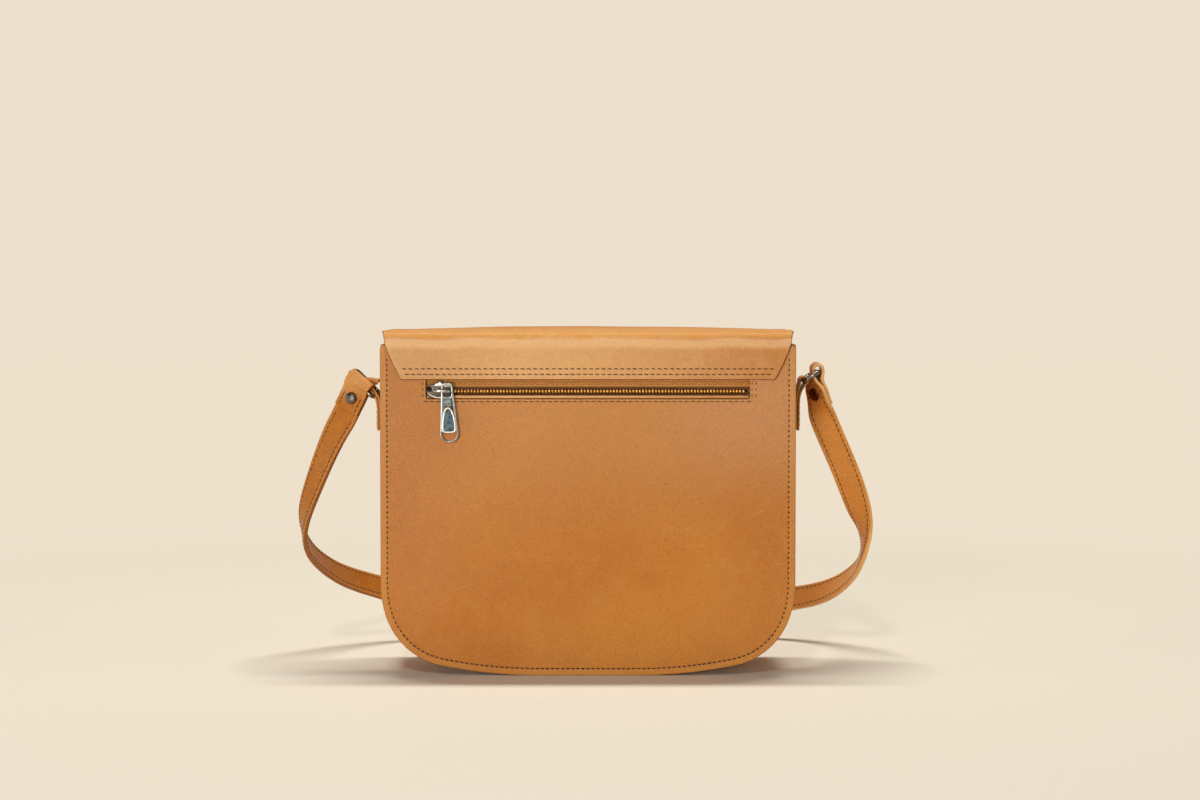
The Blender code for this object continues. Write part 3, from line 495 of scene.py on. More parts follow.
def evenly(line, spacing):
    # the same open line with points at an even spacing, ends kept
    spots = [Vector(p) for p in line]
    lengths = [0.0]
    for first, second in zip(spots, spots[1:]):
        lengths.append(lengths[-1] + (second - first).length)
    count = max(1, round(lengths[-1] / spacing))
    result = []
    at = 0
    for i in range(count + 1):
        want = lengths[-1] * i / count
        while at < len(spots) - 2 and lengths[at + 1] < want:
            at += 1
        share = (want - lengths[at]) / max(1e-9, lengths[at + 1] - lengths[at])
        result.append(tuple(spots[at].lerp(spots[at + 1], share)))
    return result


def insetLoop(loop, distances):
    # moves every point of an anticlockwise loop into the leather, by one distance or each by its own
    if not hasattr(distances, "__len__"):
        distances = [distances] * len(loop)
    moved = []
    for i, point in enumerate(loop):
        edge = (Vector(loop[(i + 1) % len(loop)]) - Vector(loop[i - 1])).normalized()
        moved.append((point[0] - edge.y * distances[i], point[1] + edge.x * distances[i]))
    return moved


def loopDistances(points, loops, passed=None):
    # least distance from each point to the cut edges, some of which are passed over
    spots = np.array(points, float)
    least = np.full(len(spots), 1e9)
    for loop in loops:
        ring = np.array(loop, float)
        for first, second in zip(ring, np.roll(ring, -1, axis=0)):
            if passed and passed(first) and passed(second):
                continue
            edge = second - first
            share = np.clip(((spots - first) @ edge) / max(1e-12, edge @ edge), 0, 1)
            gap = np.linalg.norm(spots - first - share[:, None] * edge, axis=1)
            least = np.minimum(least, gap)
    return least


def insideLoop(points, loop):
    spots = np.array(points, float)
    ring = np.array(loop, float)
    hit = np.zeros(len(spots), bool)
    for (x1, y1), (x2, y2) in zip(ring, np.roll(ring, -1, axis=0)):
        if y1 == y2:
            continue
        crosses = (y1 > spots[:, 1]) != (y2 > spots[:, 1])
        at = (x2 - x1) * (spots[:, 1] - y1) / (y2 - y1) + x1
        hit ^= crosses & (spots[:, 0] < at)
    return hit


panelRings = (0.0012, 0.0026, 0.0036, 0.0044, 0.0052, 0.0062, 0.009)


def sheetPiece(name, outline, place, thick, coats, rings=panelRings, spacing=0.007, rounding=0.0005, holes=(),
               openAt=None, steps=3):
    # leather cut to an outline, with rounded cut edges. place(u, v, depth) puts a point of it in space.
    # rings are distances from the edge with points all along them, openAt tells the ends that join on.
    loops = [list(outline)] + [list(hole) for hole in holes]
    bends = [[0.0 if openAt and openAt(p) else rounding for p in loop] for loop in loops]
    borders = [insetLoop(loop, bend) for loop, bend in zip(loops, bends)]
    inner = []
    for loop in loops:
        for ring in rings:
            inner += [(p, ring) for p in insetLoop(loop, ring)]
        if openAt:
            wide = 0.95 * max(p[0] for p in loop)
            near = insetLoop(loop, 0.0003)
            inner += [(p, 0.0003) for p, q in zip(near, loop) if openAt(q) and abs(q[0]) < wide]
    low = np.min(np.array(outline), axis=0)
    high = np.max(np.array(outline), axis=0)
    last = rings[-1] if rings else rounding
    columns = int((high[0] - low[0]) / spacing)
    rows = int((high[1] - low[1]) / spacing)
    for i in range(columns):
        for j in range(rows):
            spot = (low[0] + (i + 0.5) * spacing, low[1] + (j + 0.5) * spacing)
            inner.append((spot, last + spacing * 0.45))
    spots = [p for p, _ in inner]
    keep = np.ones(len(spots), bool)
    if spots:
        gaps = loopDistances(spots, loops)
        keep = insideLoop(spots, loops[0]) & (gaps > np.array([need for _, need in inner]) - 0.00012)
        for hole in loops[1:]:
            keep &= ~insideLoop(spots, hole)
    flatPoints = []
    edges = []
    for border in borders:
        first = len(flatPoints)
        flatPoints += border
        edges += [(first + i, first + (i + 1) % len(border)) for i in range(len(border))]
    borderCount = len(flatPoints)
    flatPoints += [p for p, kept in zip(spots, keep) if kept]
    made = delaunay_2d_cdt([Vector(p) for p in flatPoints], edges, [], 1, 1e-7)
    corners = [tuple(p) for p in made[0]]
    middles = [tuple(np.mean([corners[i] for i in face], axis=0)) for face in made[2]]
    outOfHole = np.ones(len(middles), bool)
    for border in borders[1:]:
        outOfHole &= ~insideLoop(middles, border)
    triangles = [tuple(face) for face, kept in zip(made[2], outOfHole) if kept]
    found = {}
    for index, sources in enumerate(made[3]):
        for source in sources:
            if source < borderCount:
                found[source] = index
    count = len(corners)
    points = [place(u, v, 0.0) for u, v in corners] + [place(u, v, thick) for u, v in corners]
    distances = np.minimum(loopDistances(corners, loops[:1], openAt), farFromEdge)
    if holes:
        near = loopDistances(corners, loops[1:])
        distances = np.minimum(distances, np.where(near < 0.0013, near, farFromEdge))
    distances = list(distances)
    inset = distances + distances
    wall = [0.0] * (2 * count)
    faces = list(triangles) + [tuple(i + count for i in reversed(face)) for face in triangles]
    faceCoat = [0] * len(triangles) + [1 if len(coats) > 1 else 0] * len(triangles)
    first = 0
    for loop, bend in zip(loops, bends):
        size = len(loop)
        ladder = [[found[first + i] for i in range(size)]]
        turns = [90 * k / steps for k in range(steps - 1, -1, -1)]
        profile = [(t, False) for t in turns] + [(t, True) for t in reversed(turns)]
        for degrees, under in profile:
            a = math.radians(degrees)
            moved = insetLoop(loop, [b * (1 - math.cos(a)) for b in bend])
            rung = []
            for i, (u, v) in enumerate(moved):
                depth = bend[i] * (1 - math.sin(a))
                rung.append(len(points))
                points.append(place(u, v, thick - depth if under else depth))
                inset.append(0.0 if bend[i] > 0 else farFromEdge)
                wall.append(1.0 if bend[i] > 0 and degrees < 65 else 0.0)
            ladder.append(rung)
        ladder.append([found[first + i] + count for i in range(size)])
        for upper, lower in zip(ladder, ladder[1:]):
            for i in range(size):
                j = (i + 1) % size
                faces.append((upper[i], lower[i], lower[j], upper[j]))
                faceCoat.append(0)
        first += size
    return makePiece(name, points, faces, coats, faceCoat, inset, wall)


def loftPiece(name, sections, coats, closed=False, inset=None, wall=None, ringCoat=None):
    # rings of points joined in order; ringCoat gives a coat for each place round the ring
    count = len(sections[0])
    points = [p for section in sections for p in section]
    faces = []
    faceCoat = []
    spans = len(sections) if closed else len(sections) - 1
    for k in range(spans):
        upper, lower = k * count, ((k + 1) % len(sections)) * count
        for i in range(count):
            j = (i + 1) % count
            faces.append((upper + i, upper + j, lower + j, lower + i))
            faceCoat.append(ringCoat[i] if ringCoat else 0)
    if not closed:
        faces += [tuple(reversed(range(count))), tuple(range(len(points) - count, len(points)))]
        faceCoat += [0, 0]
    return makePiece(name, points, faces, coats, faceCoat, inset, wall)


# Stitches: short humped threads that dive into holes, each hole a dark disc: painted shade

stitch = {"radius": 0.00036, "rise": 0.00008, "hole": 0.00040, "slant": 0.00016}
seams = {
    "plain": (0.0040, 0.0019), "panel": (0.0033, 0.0015), "strap": (0.0038, 0.0019),
    "tab": (0.0038, 0.0024), "zipSide": (0.0034, 0.0009), "tape": (0.0021, 0.0010),
}    # pitch and length of the stitches


def stitchesAlong(line, seam="plain"):
    # line holds (place, outward) pairs; gives (from, to, outward) for each stitch
    pitch, length = seams[seam]
    lengths = [0.0]
    for (a, _), (b, _) in zip(line, line[1:]):
        lengths.append(lengths[-1] + (b - a).length)
    total = lengths[-1]
    count = max(1, round(total / pitch))
    step = total / count

    def at(want):
        want = min(max(want, 0.0), total)
        low = max(0, min(len(line) - 2, int(np.searchsorted(lengths, want)) - 1))
        share = (want - lengths[low]) / max(1e-9, lengths[low + 1] - lengths[low])
        return (line[low][0].lerp(line[low + 1][0], share),
                line[low][1].lerp(line[low + 1][1], share).normalized())
    found = []
    for i in range(count):
        middle = (i + 0.5) * step
        (a, outA), (b, outB) = at(middle - length / 2), at(middle + length / 2)
        found.append((a, b, (outA + outB).normalized()))
    return found


def stitchPiece(name, runs, scale=1.0, sides=5, coats=("thread", "hole")):
    points, faces, faceCoat = [], [], []
    radius = stitch["radius"] * scale
    for a, b, outward in runs:
        along = (b - a).normalized()
        across = along.cross(outward).normalized()
        up = across.cross(along)
        sway = across * (stitch["slant"] + random.uniform(-0.00006, 0.00006))
        rungs = []
        for share, lift, thin in ((-0.06, -1.6, 0.7), (0.10, -0.1, 0.95), (0.5, stitch["rise"] / radius, 1.0),
                                  (0.90, -0.1, 0.95), (1.06, -1.6, 0.7)):
            centre = a.lerp(b, share) + up * radius * lift + sway * (1 if share > 0.5 else -1)
            rungs.append(range(len(points), len(points) + sides))
            points += [centre + radius * thin * (across * c + up * s) for c, s in around(sides)]
        for first, second in zip(rungs, rungs[1:]):
            for k in range(sides):
                n = (k + 1) % sides
                faces.append((first[k], first[n], second[n], second[k]))
                faceCoat.append(0)
        # a dark disc at each end of a stitch: painted shade in its hole
        for end in (a, b):
            faces.append(tuple(range(len(points), len(points) + 6)))
            faceCoat.append(1)
            for c, s in around(6):
                spread = along * c * 1.15 + across * s * 0.85
                points.append(end + spread * stitch["hole"] * scale + up * 0.00004)
    return makePiece(name, points, faces, coats, faceCoat)


# Body outline, shared by both panels and the gusset

body = {
    "halfWidth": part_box("back_panel")[1].x, "height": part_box("back_panel")[1].z,
    "panelFace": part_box("front_panel")[1].y, "leather": 0.0020, "gap": 0.0003,
    "bottomRadius": 0.320, "cornerRadius": 0.048, "sideRadius": 0.068,
    "bottomTurn": math.radians(11.5), "cornerTurn": math.radians(72.0), "topEase": 0.0030,
    "seam": 0.0045, "bulge": 0.0012, "ripple": 0.0005,
}


def halfOutline(spacing):
    # (x, z, tangent angle) from the bottom's middle up the right side
    big, corner, side = body["bottomRadius"], body["cornerRadius"], body["sideRadius"]
    low, high = body["bottomTurn"], body["cornerTurn"]
    reach = (big - corner) * math.sin(low) + (corner - side) * math.sin(high) + side
    centre = Vector((body["halfWidth"] - reach, big))
    flat = int(centre.x / spacing)
    stations = [(centre.x * i / flat, 0.0, 0.0) for i in range(flat)]
    radius = big
    for nextRadius, start, end in ((big, 0.0, low), (corner, low, high), (side, high, math.pi / 2)):
        centre = centre + (radius - nextRadius) * Vector((math.sin(start), -math.cos(start)))
        radius = nextRadius
        steps = max(2, round(radius * (end - start) / spacing))
        for i in range(0 if start == 0.0 else 1, steps + 1):
            a = start + (end - start) * i / steps
            stations.append((centre.x + radius * math.sin(a), centre.y - radius * math.cos(a), a))
    rise = body["height"] - centre.y
    steps = round(rise / spacing)
    stations += [(body["halfWidth"], centre.y + rise * i / steps, math.pi / 2) for i in range(1, steps + 1)]
    return stations


def wholeOutline(spacing):
    right = halfOutline(spacing)
    return [(-x, z, -a) for x, z, a in reversed(right[1:])] + right


def panelOutline(spacing=0.0024):
    ease = body["topEase"]
    sides = [(x, z) for x, z, _ in wholeOutline(spacing) if z < body["height"] - ease - 0.0004]
    right = arcPoints((body["halfWidth"] - ease, body["height"] - ease), ease, 0, 90, 4)
    left = [(-x, z) for x, z in reversed(right)]
    top = evenly([right[-1], left[0]], spacing)[1:-1]
    return sides + right + top + left


def dome(x, z):
    # the panel swells a little in its middle and ripples slowly; its sewn edges and zip stay flat
    inset = min(body["halfWidth"] - abs(x), z, 0.150 - z + 0.012)
    mask = within((inset - 0.010) / 0.045)
    mask = mask * mask * (3 - 2 * mask)
    wave = noise.noise(Vector((x * 17, z * 17, 4.2))) + 0.5 * noise.noise(Vector((x * 41, z * 41, 9.1)))
    return mask * (body["bulge"] + body["ripple"] * wave)


def backPlace(u, v, depth):
    return Vector((u, -body["panelFace"] - dome(u, v) + depth, v))


def frontPlace(u, v, depth):
    calm = within((math.hypot(u, v - snapHeight) - 0.012) / 0.020)
    return Vector((u, body["panelFace"] + dome(u, v) * calm - depth, v))


def boxLoop(low, high, ease, steps=3):
    # rounded rectangle, anticlockwise
    loop = []
    for x, z, start in ((high[0] - ease, low[1] + ease, -90), (high[0] - ease, high[1] - ease, 0),
                        (low[0] + ease, high[1] - ease, 90), (low[0] + ease, low[1] + ease, 180)):
        loop += arcPoints((x, z), ease, start, start + 90, steps)
    return loop


def finer(loop, spacing):
    # adds points to the long sides of a closed loop
    result = []
    for first, second in zip(loop, loop[1:] + loop[:1]):
        result += evenly([first, second], spacing)[:-1]
    return result


window = {"half": 0.1050, "low": 0.1806, "high": 0.1955, "middle": 0.1857}
snapHeight = (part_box("snap_socket")[0].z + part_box("snap_socket")[1].z) / 2


def makePanels():
    hole = finer(boxLoop((-window["half"], window["low"]), (window["half"], window["high"]), 0.0012), 0.0035)
    for side, place, holes in (("back", backPlace, [hole[::-1]]), ("front", frontPlace, [])):
        made = sheetPiece(f"{side}_panel_leather", panelOutline(), place, body["leather"], ["panel", "suede"],
                          holes=holes)
        settle(made, "bag", "tan_leather", f"{side}_panel")
    ordered = [p for p in insetLoop(panelOutline(0.002), body["seam"]) if p[1] < body["height"] - 0.006]
    ordered.sort(key=lambda p: math.atan2(p[0], -(p[1] - 0.12)))
    for side, place, out in (("back", backPlace, -1), ("front", frontPlace, 1)):
        line = [(place(u, v, 0.0), Vector((0, out, 0))) for u, v in ordered]
        runs = []
        for a, b, outward in stitchesAlong(line, "panel"):
            # up the sides the thread is pulled in to short dots
            steep = 0.44 if abs(b.z - a.z) > 0.8 * (b - a).length else 0.16
            runs.append((a.lerp(b, steep), b.lerp(a, steep), outward))
        settle(stitchPiece(f"{side}_seam", runs, 1.45), "bag", "tan_leather")


gusset = {"thick": 0.0018, "fold": 0.0030, "flange": 0.0090, "swell": 0.0016, "ripple": 0.0004}


def makeGusset():
    # a channel whose edges turn in behind both panels, swelling a little at the sides
    reach = body["panelFace"] - body["leather"] - body["gap"]
    thick, fold, flange = gusset["thick"], gusset["fold"], gusset["flange"]
    outerArc = arcPoints((fold, reach - fold), fold, 180, 90, 5)
    innerArc = arcPoints((fold, reach - fold), fold - thick, 90, 180, 4)
    across = [(0.0, reach * share) for share in (0.2, 0.45, 0.7)]
    right = across + outerArc + [(flange, reach), (flange, reach - thick)] + innerArc
    right += [(thick, y) for _, y in reversed(across)]
    half = len(across) + len(outerArc) + 1
    outer = [(n, -y) for n, y in reversed(right[:half])] + [(0.0, 0.0)] + right[:half]
    inner = right[half:] + [(thick, 0.0)] + [(n, -y) for n, y in reversed(right[half:])]
    section = outer + inner
    coat = [0] * (len(outer) - 1) + [1] * (len(inner) + 1)
    sections = []
    for x, z, angle in wholeOutline(0.004):
        side = math.sin(angle) ** 2
        ring = []
        for inset, y in section:
            swell = gusset["swell"] * side * max(0.0, 1 - (y / reach) ** 2)
            swell += gusset["ripple"] * side * noise.noise(Vector((x * 8, y * 45, z * 38)))
            n = inset - (swell if inset <= thick + 1e-6 and abs(y) < reach - fold else 0.0)
            ring.append(Vector((x - n * math.sin(angle), y, z + n * math.cos(angle))))
        sections.append(ring)
    made = loftPiece("gusset_leather", sections, ["gusset", "suede"], ringCoat=coat)
    settle(made, "bag", "tan_leather", "gusset")


makePanels()
makeGusset()
print("panels and gusset cut")


# Flap: one hide in three sheets that meet in its folds

flap = {
    "backY": -0.0413, "hingeZ": 0.2163, "radius": 0.0085, "frontY": 0.0478, "leather": 0.0020,
    "tabLow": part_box("flap_back_tab")[0].z, "leafLow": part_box("flap_front")[0].z,
    "crown": 0.0025, "halfTop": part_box("flap_top")[1].x, "corner": 0.0620,
    "rings": (0.0010, 0.0024, 0.0040, 0.0065),
    "halves": ((0.0, 0.1213), (0.0010, 0.1218), (0.0090, 0.1260), (0.0177, 0.1298), (0.0226, 0.1316),
               (0.0320, 0.1330), (0.0366, 0.1338)),
}
flap["tab"] = flap["hingeZ"] - flap["tabLow"]
flap["fold"] = flap["radius"] * math.pi / 2
flap["top"] = flap["frontY"] - flap["backY"] - 2 * flap["radius"]
flap["leafStart"] = flap["tab"] + 2 * flap["fold"] + flap["top"]
flap["end"] = flap["leafStart"] + flap["hingeZ"] - flap["leafLow"]


def foldSurface(centre, a):
    # round the back or the front fold: place (y, z) at an angle, outward normal, no crown
    out = (math.cos(a), math.sin(a))
    return (centre + flap["radius"] * out[0], flap["hingeZ"] + flap["radius"] * out[1]), out, 0.0


def flapSurface(s):
    # outer place (y, z), outward normal (y, z) and share of the crown at a length from the tab's edge
    r = flap["radius"]
    if s <= flap["tab"]:
        return (flap["backY"], flap["tabLow"] + s), (-1.0, 0.0), 0.0
    s -= flap["tab"]
    if s <= flap["fold"]:
        return foldSurface(flap["backY"] + r, math.pi - s / r)
    s -= flap["fold"]
    if s <= flap["top"]:
        return (flap["backY"] + r + s, flap["hingeZ"] + r), (0.0, 1.0), math.sin(math.pi * s / flap["top"])
    s -= flap["top"]
    if s <= flap["fold"]:
        return foldSurface(flap["frontY"] - r, math.pi / 2 - s / r)
    s -= flap["fold"]
    return (flap["frontY"], flap["hingeZ"] - s), (1.0, 0.0), 0.0


def flapPlace(x, s, depth):
    (y, z), (outY, outZ), lift = flapSurface(s)
    crown = flap["crown"] * lift * (1 - (x / flap["halfTop"]) ** 2)
    loose = within((s - flap["leafStart"] - 0.012) / 0.05)
    ripple = 0.0006 * loose * noise.noise(Vector((x * 14, s * 12, 2.7)))
    topRipple = 0.0005 * lift * noise.noise(Vector((x * 21, s * 30, 7.7)))
    return Vector((x, y - outY * depth + ripple, z - outZ * depth + crown + topRipple))


def halfAt(s):
    return float(np.interp(s, [p[0] for p in flap["halves"]], [p[1] for p in flap["halves"]]))


def flapStrip(low, high, spacing=0.0012):
    # outline between two lengths, anticlockwise in (x, s)
    steps = max(2, round((high - low) / spacing))
    stations = [low + (high - low) * i / steps for i in range(steps + 1)]
    right = [(halfAt(s), s) for s in stations]
    lowHalf, highHalf = halfAt(low), halfAt(high)
    across = max(2, round(2 * lowHalf / spacing))
    bottom = [(-lowHalf + 2 * lowHalf * i / across, low) for i in range(across)]
    top = [(highHalf - 2 * highHalf * i / across, high) for i in range(across)]
    left = [(-x, s) for x, s in reversed(right)]
    return bottom + right[:-1] + top + left[:-1]


def leafStrip(low, inset=0.0, spacing=0.0026):
    # from a cut across the top, down to the rounded lower edge, in (x, s), anticlockwise
    half = flap["halfTop"] - inset
    radius = flap["corner"] - inset
    end = flap["end"] - inset - 0.0012
    corner = arcPoints((half - radius, end - radius), radius, 0, 84, 26)
    sweep = []
    first = corner[-1]
    for i in range(1, 16):
        share = i / 15
        sweep.append((first[0] * (1 - share), first[1] + (end + 0.0012 - first[1]) * (1 - (1 - share) ** 2)))
    right = evenly([(half, low), corner[0]], spacing)[:-1] + corner + sweep
    across = max(2, round(2 * half / spacing))
    top = [(-half + 2 * half * i / across, low) for i in range(1, across)]
    return mirrored(right) + top


foldSeam = flap["tab"] + flap["fold"] * 0.5
topSeam = flap["tab"] + flap["fold"] + flap["top"] * 0.45


def isSeam(point):
    return min(abs(point[1] - foldSeam), abs(point[1] - topSeam)) < 1e-6


def curvePoint(degrees):
    # place on the back fold, at an angle round its arc
    return (0, *foldSurface(flap["backY"] + flap["radius"], math.radians(degrees))[0])


def makeFlap():
    leafBend = ((0, 0.0300, 0.2248), (0, 0.0500, 0.2000))
    sheets = (
        ("root", "flap", flapStrip(0.0, foldSeam), 0.0012, ("bag", "flap_fold"),
         ((0, flap["backY"], flap["hingeZ"] - 0.0010), curvePoint(140)), ("flap_back_tab",)),
        ("top", "flap", flapStrip(foldSeam, topSeam), 0.0012, ("flap_fold", "flap_top"),
         (curvePoint(130), (0, -0.0300, 0.2262)), ("flap_fold", "flap_top")),
        ("leaf", "leaf", leafStrip(topSeam), 0.0030, ("flap_top", "flap_front"), leafBend, ("flap_front",)),
    )
    for name, coat, outline, spacing, bodies, bend, nodes in sheets:
        made = sheetPiece(f"flap_{name}_leather", outline, flapPlace, flap["leather"], [coat, "suede"],
                          rings=flap["rings"], spacing=spacing, openAt=isSeam)
        settleBent(made, bodies, bend, "tan_leather", *nodes)
    lining = sheetPiece("flap_lining_suede", leafStrip(flap["leafStart"] + 0.0041, 0.0015), liningPlace,
                        0.0010, ["suede"], rings=(0.0015, 0.004), rounding=0.0003, steps=2)
    settleBent(lining, ("flap_top", "flap_front"), leafBend, "inner_leather", "flap_lining")
    rows = []
    for height, half in ((0.2001, 0.1210), (0.1965, 0.1192)):
        rows += stitchesAlong([(Vector((x, flap["backY"], height)), Vector((0, -1, 0)))
                               for x in np.linspace(-half, half, 90)])
    settle(stitchPiece("tab_stitches", rows), "bag", "tan_leather")
    first = flap["leafStart"] + 0.016
    seam = [p for p in leafStrip(first, 0.0050) if p[1] > first + 0.0005]
    seam.sort(key=lambda p: math.atan2(-p[0], p[1] - flap["end"] + 0.09))
    line = [(flapPlace(x, s, 0.0), Vector((0, 1, 0))) for x, s in seam]
    settle(stitchPiece("leaf_stitches", stitchesAlong(line)), "flap_front", "tan_leather")


def liningPlace(x, s, depth):
    return flapPlace(x, s, flap["leather"] + body["gap"]) - Vector((0, depth, 0))


makeFlap()
print("flap folded over")


# Zip: woven tapes, single teeth, slider with its bridge, and the puller

zipRow = {
    "z": window["middle"], "half": 0.1042, "pitch": 0.0021, "tooth": 0.0012, "root": 0.0023,
    "face": -0.0392, "back": -0.0370,
}


def flatPlace(y):
    # a flat sheet behind the panel: depth runs inwards
    return lambda u, v, depth: Vector((u, y + depth, v))


def makeTapes():
    low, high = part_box("zip_tape_upper")
    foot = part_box("zip_tape_lower")[0].z
    for name, node, start, end in (("zip_tape_top", "zip_tape_upper", zipRow["z"] + 0.0008, high.z),
                                   ("zip_tape_bottom", "zip_tape_lower", foot, zipRow["z"] - 0.0008)):
        loop = finer(boxLoop((low.x, start), (high.x, end), 0.0006, 1), 0.006)
        made = sheetPiece(name, loop, flatPlace(low.y), high.y - low.y, ["tape"], rings=(0.0012,),
                          spacing=0.006, rounding=0.0002, steps=1)
        settle(made, "bag", "zip_tape", node)
    # turned leather edge that covers the lower tape inside the window
    reach = window["half"] - 0.0002
    loop = finer(boxLoop((-reach, window["low"] + 0.0001), (reach, 0.1831), 0.0004, 1), 0.004)
    trim = sheetPiece("window_facing", loop, flatPlace(-0.0384), 0.0012, ["flap"], rings=(0.0008,),
                      spacing=0.004)
    settle(trim, "bag", "tan_leather")


def makeTeeth():
    # one row shows rounded heads, the other stands a little deeper between them in darker brass: painted
    # shade
    count = int(2 * zipRow["half"] / zipRow["pitch"]) - 1
    size = 10
    for name, node, coat, sign, shift, wide, low, high, near in (
            ("teeth_top", "zip_teeth_upper", "brass", 1, 0.0, 0.00072, -0.0013, 0.0013, zipRow["face"]),
            ("teeth_bottom", "zip_teeth_lower", "brassPaintedShade", -1, 0.5, 0.00050, -0.0006, zipRow["root"],
             zipRow["face"] + 0.0011)):
        points, faces = [], []
        for i in range(count):
            x = -zipRow["half"] + (i + 0.35 + shift) * zipRow["pitch"] + zipRow["tooth"] / 2
            first = len(points)
            for keep, y in ((1.0, zipRow["back"]), (1.0, near + 0.0007), (0.86, near + 0.0003), (0.5, near)):
                for c, s in around(size, 0.8):
                    height = (low + high) / 2 + s * keep * (high - low) / 2
                    points.append(Vector((x + wide * keep * c, y, zipRow["z"] + sign * height)))
            for k in range(3):
                for n in range(size):
                    m = (n + 1) % size
                    faces.append((first + k * size + n, first + k * size + m, first + (k + 1) * size + m,
                                  first + (k + 1) * size + n))
            faces.append(tuple(range(first, first + size)))
            faces.append(tuple(range(first + 3 * size, first + 4 * size)))
        settle(makePiece(name, points, faces, [coat]), "bag", "antique_brass", node)
    # thread that sews the upper row to its tape
    runs = []
    for height in (0.0036, 0.0052):
        line = [(Vector((x, -0.0371, zipRow["z"] + height)), Vector((0, -1, 0)))
                for x in np.linspace(-zipRow["half"], zipRow["half"], 120)]
        runs += stitchesAlong(line, "tape")
    settle(stitchPiece("tape_cord", runs, 1.3, 6, ["cord", "cord"]), "bag", "zip_tape")


def slabSections(loop, y0, y1, ease, steps=3):
    # rounded slab between two depths: rings of the loop, eased at both faces
    rings = []
    for k in range(steps + 1):
        a = math.radians(90 * k / steps)
        rings.append((insetLoop(loop, ease * (1 - math.sin(a))), y0 + ease * (1 - math.cos(a))))
    under = [(ring, y0 + y1 - y) for ring, y in reversed(rings)]
    return [[Vector((u, y, v)) for u, v in ring] for ring, y in rings + under]


# the parts of slider and puller are given from the slider's x and z
slider = {
    "x": -0.0897, "z": window["middle"], "face": -0.0405, "under": -0.0393, "half": 0.0046, "tail": 0.0036,
}


def sliderLoop():
    half, tail = slider["half"], slider["tail"]
    upper = [(0.0022, 0.0), (0.0022, tail - 0.0012), (0.0017, tail - 0.0004), (0.0008, tail),
             (-0.0030, tail + 0.0001), (-0.0060, tail + 0.0003)]
    upper += arcPoints((-0.0110, half - 0.0038), 0.0038, 84, 150, 6) + [(-0.0148, 0.0013), (-0.0150, 0.0)]
    loop = upper + [(x, -z) for x, z in reversed(upper[1:-1])]
    return [(slider["x"] + x, slider["z"] + z) for x, z in loop]


def tubePoints(path, across, wide, high, sides=12, power=1.0):
    # sections of a bar along a path; across gives its wide direction
    sections = []
    for i, spot in enumerate(path):
        along = (path[min(len(path) - 1, i + 1)] - path[max(0, i - 1)]).normalized()
        side = (across - along * across.dot(along)).normalized()
        up = along.cross(side)
        sections.append([spot + side * wide * c + up * high * s for c, s in around(sides, power)])
    return sections


def pillow(name, outline, spine, rise, coat):
    # domed piece on the slider's face: the outline shrinks towards a middle line as it rises
    sections = []
    for k in range(7):
        turn = math.radians(90 * k / 6)
        keep = 0.12 + 0.88 * math.cos(turn)
        y = slider["face"] - rise * math.sin(turn)
        ring = []
        for spot in outline:
            spot = Vector(spot)
            core = min((nearestOn(spot, Vector(p), Vector(q)) for p, q in zip(spine, spine[1:])),
                       key=lambda found: (found - spot).length)
            flat = core + (spot - core) * keep
            ring.append(Vector((slider["x"] + flat.x, y, slider["z"] + flat.y)))
        sections.append(ring)
    base = [p + Vector((0, 0.0006, 0)) for p in sections[0]]
    settle(loftPiece(name, [base] + sections, [coat]), "slider", "nickel")


def nearestOn(spot, start, end):
    line = end - start
    return start + line * within((spot - start).dot(line) / line.length_squared)


def rod(name, points, wide, high, coat):
    # rounded bar through points given from the slider's middle: (x, y, z)
    middle = (slider["x"], slider["face"], slider["z"])
    path = smoothLine([Vector([m + p for m, p in zip(middle, point)]) for point in points], 3)
    piece = loftPiece(name, tubePoints(path, Vector((0, 0, 1)), wide, high, 12, 0.8), [coat])
    settle(piece, "slider", "nickel")


